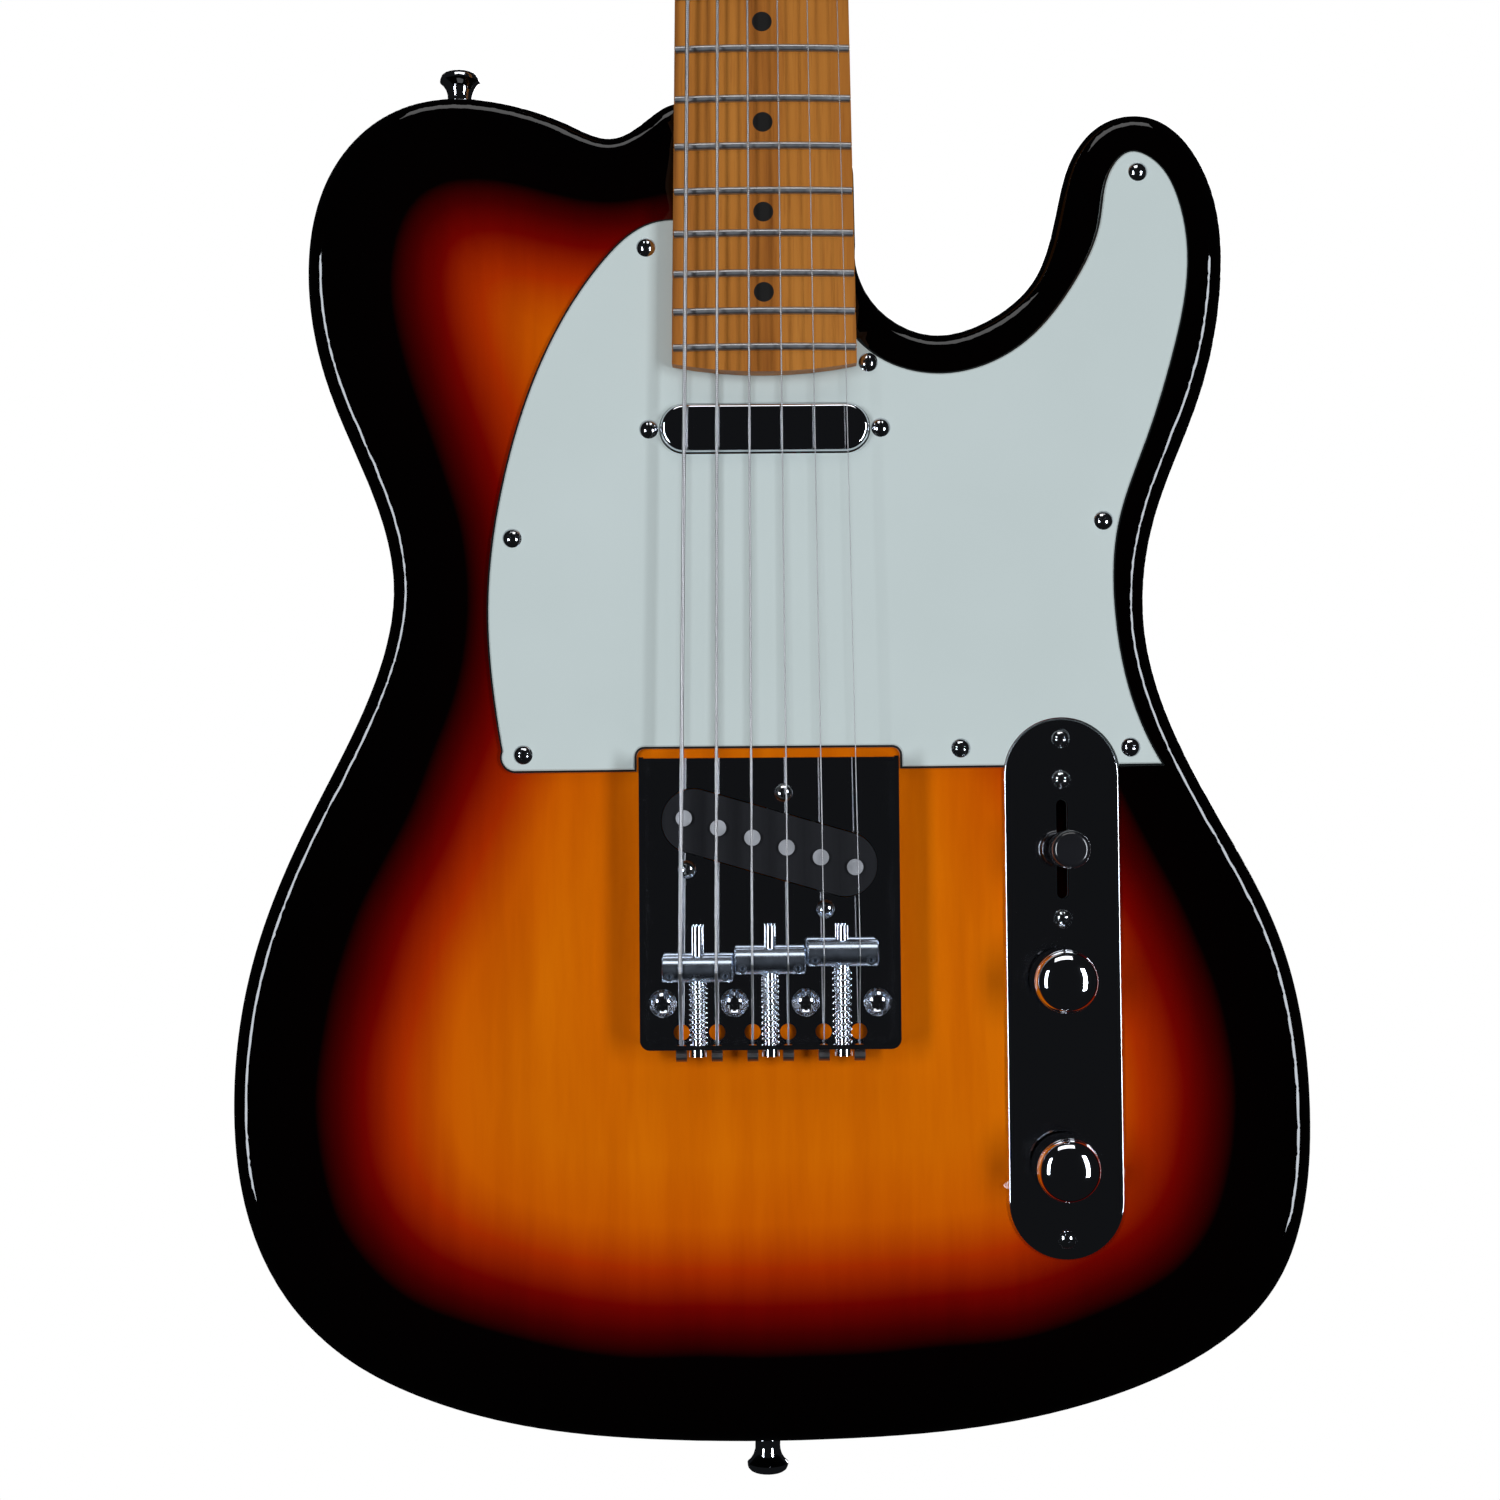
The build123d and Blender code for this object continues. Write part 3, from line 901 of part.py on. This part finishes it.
jack_nut = Pos(0, 0, JACK_PLATE_THICKNESS) * extrude(RegularPolygon(6.8, 6), 2.2)
jack_nut -= disc(JACK_TUBE_RADIUS + FIT, 8, (0, 0, 0))
threaded_nuts.append(jack_frame * jack_nut)

# ---------------------------------------------------------------- strap buttons
neck_r = STRAP_RADIUS * 0.62
foot_r = STRAP_RADIUS * 0.86
button_profile = make_face([
    Line((0, 0), (foot_r, 0)),
    Line((foot_r, 0), (foot_r, 1.2)),
    Spline((foot_r, 1.2), (neck_r, 5.0), (neck_r + 0.4, 9.0), (STRAP_RADIUS, 11.6)),
    Spline((STRAP_RADIUS, 11.6), (STRAP_RADIUS - 0.4, 13.3), (STRAP_RADIUS - 2.4, STRAP_HEIGHT)),
    Line((STRAP_RADIUS - 2.4, STRAP_HEIGHT), (0, STRAP_HEIGHT)),
    Line((0, STRAP_HEIGHT), (0, 0))])
strap_shape = revolve(Plane.XZ * button_profile, Axis.Z)
strap_shape -= disc(STRAP_SCREW[0] + FIT, 30, (0, 0, -5))
strap_shape -= disc(STRAP_SCREW[2] + 0.3, 5, (0, 0, STRAP_SCREW_START))
strap_buttons = []
strap_screws = []
for (px, py), (dx, dy) in STRAPS:
    stand = Plane(origin=(px, py, BODY_THICKNESS / 2), x_dir=(1, 0, 0), z_dir=(0, dy, 0))
    body -= stand * disc(foot_r + 0.1, 6, (0, 0, 0))
    strap_buttons.append(stand * strap_shape)
    seat = (px, py + dy * STRAP_SCREW_START, BODY_THICKNESS / 2)
    strap_screws.append(screw(STRAP_SCREW, seat, (0, -dy, 0)))

# ---------------------------------------------------------------- wiring
under_frame = FRONT - 1.2 - WIRE_R - 0.02
lug_z = FRONT - 3.0 - WIRE_R - 0.02
volume_lug_y = KNOB_YS[0] - POT_RADIUS - 2.5
tone_lug_y = KNOB_YS[1] - POT_RADIUS - 2.5
jack_lug = tuple(jack_frame.from_local_coords(Vector(0, 6.2, jack_foot - 17 - WIRE_R)))
wire_routes = [
    [(10, NECK_PICKUP_Y, neck_base_top - BASEPLATE_THICKNESS - WIRE_R - 0.02), (10.4, 152, CHANNEL_Z),
     (14, 40, CHANNEL_Z), (20, 28.5, CHANNEL_Z), (CONTROL_X - 12, 35, CHANNEL_Z), (CONTROL_X - 10, 50, 31),
     (CONTROL_X - 4, 50, under_frame)],
    [(CONTROL_X - 4, 12, under_frame), (CONTROL_X - 10, 8, 28), (CONTROL_X - 10, -19, 26),
     (KNOB_X - 2, volume_lug_y, lug_z)],
    [(KNOB_X - 4, volume_lug_y, lug_z), (KNOB_X - 9, volume_lug_y - 4, 24), (KNOB_X - 9, tone_lug_y + 4, 24),
     (KNOB_X - 4, tone_lug_y, lug_z)],
    [(KNOB_X, volume_lug_y, lug_z), (KNOB_X, volume_lug_y - 6, 20), (KNOB_X + 8, -62, 18), jack_lug]]
wiring = [swept_wire(route, WIRE_R) for route in wire_routes]

# ================================================================ write the pieces
os.makedirs("parts", exist_ok=True)
cover_screws = [screw(COVER_SCREW, (px, py, GUARD_TOP)) for px, py in GUARD_SCREW_POINTS]
plate_points = CONTROL_SCREW_POINTS + SWITCH_SCREW_POINTS
cover_screws += [screw(COVER_SCREW, (px, py, CONTROL_TOP)) for px, py in plate_points]
cover_screws += [screw(NECK_PICKUP_SCREW, (px, py, GUARD_TOP)) for px, py in PICKUP_GUARD_POINTS]
cover_screws += [screw(COVER_SCREW, tuple(seat), jack_inward) for seat in JACK_SCREW_SEATS]
save("body", body)
save("neck", neck)
save("fretboard", fretboard)
save("frets", group(frets))
save("position_dots", group(dots))
save("string_nut", string_nut)
save("truss_rod", truss_rod)
save("neck_plate", neck_plate)
save("neck_screws", group(neck_screws))
save("pickguard", pickguard)
save("cover_screws", group(cover_screws))
save("neck_pickup_cover", neck_pickup_cover)
save("pickup_bobbins", group(bobbins))
save("pickup_coils", group(coils))
save("pickup_magnets", group(magnets))
save("pickup_baseplates", group(baseplates))
save("pickup_screws", group(bridge_pickup_screws))
save("bridge_plate", bridge_plate)
save("bridge_screws", group([screw(BRIDGE_SCREW, (px, py, BRIDGE_TOP)) for px, py in BRIDGE_SCREW_POINTS]))
save("intonation_screws", group(intonation_screws))
for name in SADDLE_NAMES:
    save(f"saddle_{name}", group(saddles[name]))
    save(f"saddle_spring_{name}", springs[name])
    save(f"strings_{name}", group(strings[name]))
save("string_trees", group(string_trees))
save("headstock_screws", group(tree_screws + tuner_screws))
save("control_plate", control_plate)
save("pot_cases", group(pot_cases))
save("threaded_nuts", group(threaded_nuts))
for name, knob, shaft_piece in zip(("volume", "tone"), knobs, shafts):
    save(f"{name}_knob", knob)
    save(f"{name}_shaft", shaft_piece)
save("switch_frame", switch_place * switch_frame)
save("selector_lever", switch_place * lever)
save("selector_tip", switch_place * tip)
save("jack_plate", jack_frame * jack_plate)
save("output_jack", jack_frame * jack_tube)
save("strap_buttons", group(strap_buttons))
save("strap_screws", group(strap_screws))
save("tuner_housings", group(housings))
save("tuner_bushings", group(bushing_solids))
for i in range(6):
    save(f"tuner_post_{i + 1}", posts[i])
    save(f"tuner_button_{i + 1}", buttons[i])
save("wiring", group(wiring))
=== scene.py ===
"""Single-cutaway electric guitar: looks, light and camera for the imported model."""
import json
from math import cos, pi, radians, sin

import bmesh
import bpy
import numpy as np
from mathutils import Matrix, Vector


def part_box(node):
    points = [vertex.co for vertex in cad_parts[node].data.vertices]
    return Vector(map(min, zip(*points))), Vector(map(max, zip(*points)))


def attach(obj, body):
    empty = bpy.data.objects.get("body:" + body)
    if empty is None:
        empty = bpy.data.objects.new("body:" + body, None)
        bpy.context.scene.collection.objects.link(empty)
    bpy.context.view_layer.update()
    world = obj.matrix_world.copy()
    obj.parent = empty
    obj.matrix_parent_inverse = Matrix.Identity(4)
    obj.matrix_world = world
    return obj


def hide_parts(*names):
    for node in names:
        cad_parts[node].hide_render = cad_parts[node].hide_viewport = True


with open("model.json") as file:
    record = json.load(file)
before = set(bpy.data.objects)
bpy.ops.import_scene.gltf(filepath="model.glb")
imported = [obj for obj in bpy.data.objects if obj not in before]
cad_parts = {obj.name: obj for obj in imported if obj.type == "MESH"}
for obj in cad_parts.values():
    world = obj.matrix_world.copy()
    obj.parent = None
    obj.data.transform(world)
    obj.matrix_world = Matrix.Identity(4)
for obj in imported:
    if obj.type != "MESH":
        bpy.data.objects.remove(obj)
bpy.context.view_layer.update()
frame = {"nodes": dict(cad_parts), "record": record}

NODES = frame["nodes"]
SLOT_OF = {part["node"]: part["material_slot"] for part in frame["record"]["subparts"]}

SMOOTH_ANGLE = radians(35)
FRONT_Y = -0.045            # the body's front face
GUARD_THICKNESS = 0.0022
OUTLINE_CUT_DEPTH = 0.036   # below the front, past the neck pocket and the jack recess
BURST_DEPTH = 0.09          # distance from the edge over which the colours run
BURST_WANDER = 0.010
EDGE_LENGTHS = (0.05, 0.025, 0.012, 0.008)
RIM_SOFTNESS = 0.006
RIM_SAMPLES = 500
RIM_MATCH = 0.035           # depth at which the soft distance equals the true one
KNOB_SIDES = 180
KNURL_ROWS = 14
KNURL_CUT = 0.00022
DOME_ROWS = 12
WALL_SHARE = 0.72           # of a knob's height that is knurled wall


# ---------------------------------------------------------------- shader helpers
class Shader:
    """A material with one Principled shader and short ways to add nodes."""

    def __init__(self, name):
        self.material = bpy.data.materials.new(name)
        self.material.use_nodes = True
        self.tree = self.material.node_tree
        self.main = self.tree.nodes["Principled BSDF"]

    def node(self, kind, **values):
        made = self.tree.nodes.new(kind)
        for key, value in values.items():
            if hasattr(made, key):
                setattr(made, key, value)
            else:
                made.inputs[key].default_value = value
        return made

    def link(self, source, target):
        self.tree.links.new(source, target)

    def place(self):
        """Object coordinates, which are the model's own metres."""
        return self.node("ShaderNodeTexCoord").outputs["Object"]

    def scaled(self, scale):
        mapping = self.node("ShaderNodeMapping")
        mapping.inputs["Scale"].default_value = scale
        self.link(self.place(), mapping.inputs["Vector"])
        return mapping.outputs["Vector"]

    def noise(self, scale, detail=4.0, stretch=(1, 1, 1), rough=0.55):
        made = self.node("ShaderNodeTexNoise")
        made.inputs["Scale"].default_value = scale
        made.inputs["Detail"].default_value = detail
        made.inputs["Roughness"].default_value = rough
        self.link(self.scaled(stretch), made.inputs["Vector"])
        return made.outputs["Fac"]

    def ramp(self, source, stops, interpolation="LINEAR"):
        made = self.node("ShaderNodeValToRGB")
        made.color_ramp.interpolation = interpolation
        points = made.color_ramp.elements
        while len(points) < len(stops):
            points.new(0.5)
        for point, (position, colour) in zip(points, stops):
            point.position = position
            point.color = (*colour, 1)
        self.link(source, made.inputs["Fac"])
        return made.outputs["Color"]

    def math(self, operation, first, second):
        made = self.node("ShaderNodeMath", operation=operation)
        for socket, value in zip(made.inputs, (first, second)):
            if isinstance(value, (int, float)):
                socket.default_value = value
            else:
                self.link(value, socket)
        return made.outputs[0]

    def mix(self, fac, first, second, blend="MIX"):
        made = self.node("ShaderNodeMix", data_type="RGBA", blend_type=blend)
        for index, value in ((0, fac), (6, first), (7, second)):
            socket = made.inputs[index]
            if isinstance(value, (int, float)):
                socket.default_value = value
            elif isinstance(value, tuple):
                socket.default_value = (*value, 1)
            else:
                self.link(value, socket)
        return made.outputs[2]

    def bump(self, height, strength, distance=0.0002):
        made = self.node("ShaderNodeBump")
        made.inputs["Strength"].default_value = strength
        made.inputs["Distance"].default_value = distance
        self.link(height, made.inputs["Height"])
        self.link(made.outputs["Normal"], self.main.inputs["Normal"])

    def colour(self, source):
        self.link(source, self.main.inputs["Base Color"])

    def set(self, **values):
        names = {"base": "Base Color", "metal": "Metallic", "rough": "Roughness", "coat": "Coat Weight",
                 "coat_rough": "Coat Roughness", "ior": "IOR", "specular": "Specular IOR Level"}
        for key, value in values.items():
            self.main.inputs[names[key]].default_value = (*value, 1) if isinstance(value, tuple) else value
        return self


def wood_grain(shader, fine, stretch):
    """Long growth lines along Z with fine pores."""
    lines = shader.noise(fine, 6.0, stretch, 0.62)
    pores = shader.noise(fine * 7, 2.0, (stretch[0] * 2, stretch[1] * 2, stretch[2] * 1.5), 0.5)
    return lines, pores


def burst():
    """Three-colour burst: amber, dark red, black edge, over open grain, under gloss lacquer."""
    s = Shader("burst_lacquer").set(rough=0.5, coat=1.0, coat_rough=0.025, specular=0.0)
    rim = s.node("ShaderNodeAttribute", attribute_name="rim").outputs["Fac"]
    wander = s.math("MULTIPLY", s.math("SUBTRACT", s.noise(9, 2), 0.5), BURST_WANDER)
    depth = s.math("ADD", rim, wander)
    spread = s.math("MULTIPLY", depth, 1 / BURST_DEPTH)
    lines, pores = wood_grain(s, 16, (5.0, 5.0, 0.45))
    amber = s.ramp(lines, [(0.30, (0.56, 0.108, 0.0004)), (0.48, (0.62, 0.126, 0.0005)),
                           (0.64, (0.67, 0.146, 0.0008))])
    tint = s.ramp(spread, [(0.0, (0.0, 0.0, 0.0)), (0.28, (0.001, 0.0, 0.0)), (0.35, (0.09, 0.0, 0.0)),
                           (0.43, (0.24, 0.008, 0.0)), (0.55, (0.62, 0.19, 0.04)), (0.69, (0.92, 0.74, 0.5)),
                           (0.90, (1.0, 1.0, 1.0))])
    s.colour(s.mix(1.0, amber, tint, "MULTIPLY"))
    s.bump(pores, 0.04, 0.0001)
    return s.material


def roasted_maple():
    s = Shader("roasted_maple").set(rough=0.5, coat=0.12, coat_rough=0.3, specular=0.15)
    lines, pores = wood_grain(s, 22, (4.5, 4.5, 0.22))
    base = s.ramp(lines, [(0.28, (0.20, 0.058, 0.006)), (0.42, (0.34, 0.112, 0.014)),
                          (0.55, (0.42, 0.150, 0.02)), (0.72, (0.47, 0.18, 0.028))])
    flecks = s.ramp(pores, [(0.30, (0.72, 0.66, 0.6)), (0.45, (1, 1, 1))])
    s.colour(s.mix(0.6, base, flecks, "MULTIPLY"))
    s.bump(pores, 0.08, 0.0001)
    return s.material


def mint_ply():
    """Three plies told apart by height, so the bevel shows mint, dark and light lines."""
    s = Shader("mint_ply").set(rough=0.28, coat=0.5, coat_rough=0.08)
    height = s.node("ShaderNodeSeparateXYZ")
    s.link(s.place(), height.inputs[0])
    level = s.math("MULTIPLY", s.math("SUBTRACT", FRONT_Y, height.outputs["Y"]), 1 / GUARD_THICKNESS)
    plies = s.ramp(level, [(0.0, (0.56, 0.62, 0.59)), (0.52, (0.010, 0.012, 0.012)),
                           (0.82, (0.60, 0.655, 0.62))], "CONSTANT")
    cloud = s.ramp(s.noise(14, 3), [(0.3, (0.955, 0.96, 0.955)), (0.7, (1, 1, 1))])
    s.colour(s.mix(1.0, plies, cloud, "MULTIPLY"))
    return s.material


def metal(name, tone, rough, scratch=0.0, stretch=(1, 1, 1)):
    s = Shader(name).set(metal=1.0, base=tone, rough=rough)
    marks = s.noise(240, 3, stretch)
    spread = s.node("ShaderNodeMapRange")
    spread.inputs["To Min"].default_value = rough * 0.8
    spread.inputs["To Max"].default_value = rough * 1.25 + 0.01
    s.link(marks, spread.inputs["Value"])
    s.link(spread.outputs["Result"], s.main.inputs["Roughness"])
    if scratch:
        s.bump(marks, scratch, 0.00005)
    return s.material


def plastic(name, tone, rough, grain=0.0, coat=0.0):
    s = Shader(name).set(rough=rough, coat=coat)
    dark = tuple(c * 0.85 for c in tone)
    s.colour(s.ramp(s.noise(60, 3), [(0.35, dark), (0.65, tone)]))
    if grain:
        s.bump(s.noise(900, 2), grain, 0.00008)
    return s.material


def wound_wire():
    """Plain wire's colour with the fine turns of a round-wound string across it."""
    s = Shader("string_wire").set(metal=1.0, base=(0.40, 0.39, 0.39), rough=0.34)
    turns = s.node("ShaderNodeTexWave", wave_type="BANDS", bands_direction="Z")
    turns.inputs["Scale"].default_value = 520.0
    s.link(s.place(), turns.inputs["Vector"])
    s.bump(turns.outputs["Fac"], 0.35, 0.0001)
    return s.material


def wound_copper():
    s = Shader("coil_copper_painted_groove_shade").set(metal=0.8, rough=0.35)
    turns = s.node("ShaderNodeTexWave", wave_type="BANDS", bands_direction="Y")
    turns.inputs["Scale"].default_value = 900.0
    s.link(s.place(), turns.inputs["Vector"])
    # Painted shade and painted highlight: each turn of the wire is coloured dark copper in the groove between
    # turns and bright copper on its crest, so the round wire's shading is painted into the colour.
    s.colour(s.ramp(turns.outputs["Fac"], [(0.2, (0.10, 0.03, 0.012)), (0.8, (0.45, 0.16, 0.06))]))
    return s.material


LOOKS = {
    "sunburst_wood": burst(),
    "roasted_maple": roasted_maple(),
    "mint_laminate": mint_ply(),
    "fret_wire": metal("fret_wire", (0.50, 0.50, 0.51), 0.34),
    "black_inlay": plastic("inlay_black", (0.012, 0.011, 0.010), 0.3),
    "bone": plastic("nut_bone", (0.78, 0.72, 0.58), 0.3, coat=0.3),
    "tool_steel": metal("tool_steel", (0.35, 0.35, 0.36), 0.4, 0.1),
    "chrome": metal("chrome_plate", (0.80, 0.82, 0.87), 0.035),
    "screw_chrome": metal("screw_chrome", (0.78, 0.80, 0.84), 0.08),
    "black_fibre": plastic("bobbin_black", (0.010, 0.010, 0.012), 0.34, 0.1, 0.2),
    "copper_coil": wound_copper(),
    "alnico": metal("magnet_ground", (0.66, 0.66, 0.68), 0.42, 0.2),
    "plated_base": metal("base_plated", (0.50, 0.51, 0.53), 0.3, 0.1),
    "saddle_steel": metal("saddle_steel", (0.60, 0.68, 0.80), 0.24, 0.05),
    "spring_steel": metal("spring_steel", (0.70, 0.71, 0.74), 0.15),
    "string_nickel": wound_wire(),
    "zinc_case": metal("zinc_case", (0.55, 0.55, 0.55), 0.35, 0.1),
    "nut_nickel": metal("nut_nickel", (0.66, 0.65, 0.63), 0.15),
    "shaft_steel": metal("shaft_steel", (0.58, 0.58, 0.60), 0.25),
    "black_plastic": plastic("tip_black", (0.012, 0.012, 0.014), 0.18, 0.0, 0.6),
    "jack_nickel": metal("jack_nickel", (0.62, 0.62, 0.62), 0.2),
    "wire_cloth": plastic("wire_cloth", (0.42, 0.36, 0.24), 0.8, 0.5),
    "post_steel": metal("post_steel", (0.70, 0.72, 0.76), 0.12, 0.05, (1, 1, 4)),
}


# ---------------------------------------------------------------- mesh helpers
def smooth(mesh):
    mesh.polygons.foreach_set("use_smooth", [True] * len(mesh.polygons))
    mesh.set_sharp_from_angle(angle=SMOOTH_ANGLE)


def add_piece(name, mesh, body, slot, *nodes):
    piece = bpy.data.objects.new(name, mesh)
    bpy.context.scene.collection.objects.link(piece)
    mesh.materials.clear()
    mesh.materials.append(LOOKS[slot])
    smooth(mesh)
    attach(piece, body)
    if nodes:
        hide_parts(*nodes)
    return piece


for name, piece in NODES.items():
    piece.data.materials.clear()
    piece.data.materials.append(LOOKS[SLOT_OF[name]])
    smooth(piece.data)


# ---------------------------------------------------------------- body with a measured distance from its edge
def outline_points(mesh):
    """The body's outer loop below the neck pocket and the jack recess, as (x, z) pairs."""
    bm = bmesh.new()
    bm.from_mesh(mesh)
    bmesh.ops.remove_doubles(bm, verts=bm.verts, dist=1e-6)
    everything = bm.verts[:] + bm.edges[:] + bm.faces[:]
    cut = bmesh.ops.bisect_plane(bm, geom=everything, plane_co=(0, FRONT_Y + OUTLINE_CUT_DEPTH, 0),
                                 plane_no=(0, 1, 0), clear_inner=True, clear_outer=True)
    edges = [e for e in cut["geom_cut"] if isinstance(e, bmesh.types.BMEdge)]
    neighbours = {}
    for e in edges:
        a, b = e.verts
        neighbours.setdefault(a, []).append(b)
        neighbours.setdefault(b, []).append(a)
    lowest = min(neighbours, key=lambda v: v.co.z)
    loop = [lowest]
    seen = {lowest}
    while True:
        ahead = [v for v in neighbours[loop[-1]] if v not in seen]
        if not ahead:
            break
        loop.append(ahead[0])
        seen.add(ahead[0])
    points = np.array([(v.co.x, v.co.z) for v in loop])
    bm.free()
    return points


def resampled(loop, count):
    """Points spread evenly along a closed polyline, and their spacing."""
    closed = np.vstack([loop, loop[:1]])
    run = np.concatenate([[0], np.cumsum(np.hypot(*np.diff(closed, axis=0).T))])
    stations = np.linspace(0, run[-1], count, endpoint=False)
    return np.column_stack([np.interp(stations, run, closed[:, i]) for i in (0, 1)]), run[-1] / count


def soft_rim(points, loop):
    """Depth inside the outline, blended where two edges are about as near, as sprayed colour is."""
    samples, spacing = resampled(loop, RIM_SAMPLES)
    total = np.zeros(len(points))
    for sample in samples:
        total += np.exp(-np.hypot(*(points - sample).T) / RIM_SOFTNESS)
    match = np.sqrt(2 * pi * RIM_MATCH * RIM_SOFTNESS)
    return -RIM_SOFTNESS * np.log(np.maximum(total * spacing / match, 1e-30))


def burst_body():
    """The CAD body with its large faces divided, carrying each point's distance from the outline."""
    source = NODES["body"].data
    loop = outline_points(source)
    bm = bmesh.new()
    bm.from_mesh(source)
    bmesh.ops.remove_doubles(bm, verts=bm.verts, dist=1e-6)
    for longest in EDGE_LENGTHS:
        long_edges = [e for e in bm.edges if e.calc_length() > longest]
        bmesh.ops.subdivide_edges(bm, edges=long_edges, cuts=1, use_grid_fill=False)
        bmesh.ops.triangulate(bm, faces=[f for f in bm.faces if len(f.verts) > 3])
    mesh = bpy.data.meshes.new("burst_body")
    bm.to_mesh(mesh)
    bm.free()
    co = np.zeros(len(mesh.vertices) * 3)
    mesh.vertices.foreach_get("co", co)
    co = co.reshape(-1, 3)
    rim = soft_rim(co[:, [0, 2]], loop)
    mesh.attributes.new("rim", "FLOAT", "POINT").data.foreach_set("value", rim.astype(np.float32))
    return add_piece("burst_body", mesh, "guitar", "sunburst_wood", "body")


burst_body()


# ---------------------------------------------------------------- knobs: knurled wall and domed top
def knob(name, node, body):
    """A lathed cap with a recessed foot, a wall of small diamonds and a dome, in place of the plain knob."""
    low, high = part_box(node)
    centre = ((low[0] + high[0]) / 2, (low[2] + high[2]) / 2)
    radius = (high[0] - low[0]) / 2
    foot, top = high[1], low[1]
    height = foot - top
    wall = WALL_SHARE * height
    rings = [(radius * 0.55, 0.0008), (radius * 0.80, 0.0008), (radius * 0.80, 0.0), (radius * 0.95, 0.0),
             (radius * 0.985, 0.0004)]
    plain_rings = len(rings)
    for i in range(KNURL_ROWS):
        rings.append((radius, 0.0009 + (wall - 0.0018) * i / (KNURL_ROWS - 1)))
    rings += [(radius * 0.985, wall - 0.0003), (radius * 0.975, wall + 0.0003)]
    for i in range(DOME_ROWS + 1):
        a = radians(90) * i / DOME_ROWS
        bulge = 0.965 * radius * cos(a) ** 0.8 if i < DOME_ROWS else 0.0
        rings.append((bulge, wall + 0.0004 + (height - wall - 0.0004) * sin(a)))
    bm = bmesh.new()
    rows = []
    for row, (r, h) in enumerate(rings):
        if r == 0:
            rows.append([bm.verts.new((centre[0], foot - h, centre[1]))])
            continue
        ring = []
        knurled = plain_rings <= row < plain_rings + KNURL_ROWS
        for k in range(KNOB_SIDES):
            a = 2 * pi * k / KNOB_SIDES
            cut = KNURL_CUT * ((k + row) % 2) + 0.00003 if knurled else 0.0
            x = centre[0] + (r - cut) * cos(a)
            z = centre[1] + (r - cut) * sin(a)
            ring.append(bm.verts.new((x, foot - h, z)))
        rows.append(ring)
    for first, second in zip(rows, rows[1:]):
        for k in range(KNOB_SIDES):
            n = (k + 1) % KNOB_SIDES
            if len(second) == 1:
                bm.faces.new((first[k], first[n], second[0]))
            else:
                bm.faces.new((first[k], first[n], second[n], second[k]))
    bmesh.ops.contextual_create(bm, geom=rows[0])
    bmesh.ops.recalc_face_normals(bm, faces=bm.faces)
    mesh = bpy.data.meshes.new(name)
    bm.to_mesh(mesh)
    bm.free()
    return add_piece(name, mesh, body, "chrome", node)


knob("volume_cap", "volume_knob", "volume_control")
knob("tone_cap", "tone_knob", "tone_control")


# ---------------------------------------------------------------- light, world and camera
def softbox(name, place, target, size, power, colour=(1, 1, 1), mirrored=True):
    light = bpy.data.lights.new(name, "AREA")
    light.shape = "RECTANGLE"
    light.size, light.size_y = size
    light.energy = power
    light.color = colour
    lamp = bpy.data.objects.new(name, light)
    bpy.context.scene.collection.objects.link(lamp)
    away = (Vector(place) - Vector(target)).normalized()
    lamp.visible_glossy = mirrored
    lamp.matrix_world = Matrix.Translation(place) @ away.to_track_quat("Z", "Y").to_matrix().to_4x4()
    return lamp


COOL = (0.86, 0.92, 1.0)
softbox("left_box", (-1.05, -1.25, 0.12), (0, 0, 0.08), (0.30, 1.1), 16, COOL)
softbox("right_box", (1.05, -1.25, 0.06), (0, 0, 0.08), (0.30, 1.1), 16, COOL)
softbox("top_box", (0, -1.1, 1.9), (0, 0, 0.1), (1.6, 0.8), 8)
softbox("low_box", (0, -1.1, -1.7), (0, 0, 0.1), (1.6, 0.8), 5, mirrored=False)
softbox("back_box", (0.3, 1.9, 0.9), (0, 0, 0.2), (1.6, 1.6), 20)

world = bpy.data.worlds.new("studio")
bpy.context.scene.world = world
world.use_nodes = True
tree = world.node_tree
tree.nodes.clear()
output = tree.nodes.new("ShaderNodeOutputWorld")
chooser = tree.nodes.new("ShaderNodeMixShader")
seen = tree.nodes.new("ShaderNodeLightPath")
room = tree.nodes.new("ShaderNodeBackground")
room.inputs["Color"].default_value = (0.85, 0.9, 1.0, 1)
room.inputs["Strength"].default_value = 0.008
paper = tree.nodes.new("ShaderNodeBackground")
paper.inputs["Color"].default_value = (1, 1, 1, 1)
paper.inputs["Strength"].default_value = 1.0
tree.links.new(seen.outputs["Is Camera Ray"], chooser.inputs["Fac"])
tree.links.new(room.outputs[0], chooser.inputs[1])
tree.links.new(paper.outputs[0], chooser.inputs[2])
tree.links.new(chooser.outputs[0], output.inputs["Surface"])

scene = bpy.context.scene
scene.view_settings.view_transform = "Standard"
scene.view_settings.look = "None"

CAMERA_PLACE = (-0.00518, -0.67188, 0.03629)
CAMERA_PITCH = radians(-2.301)
CAMERA_ROLL = radians(0.429)
camera = bpy.data.objects.new("camera", bpy.data.cameras.new("camera"))
scene.collection.objects.link(camera)
camera.data.lens = 50
camera.data.sensor_width = 36
facing = Matrix.Rotation(radians(90), 4, "X")
turn = Matrix.Rotation(-CAMERA_PITCH, 4, "X") @ Matrix.Rotation(-CAMERA_ROLL, 4, "Z")
camera.matrix_world = Matrix.Translation(CAMERA_PLACE) @ facing @ turn
camera.data.clip_start = 0.01
scene.camera = camera
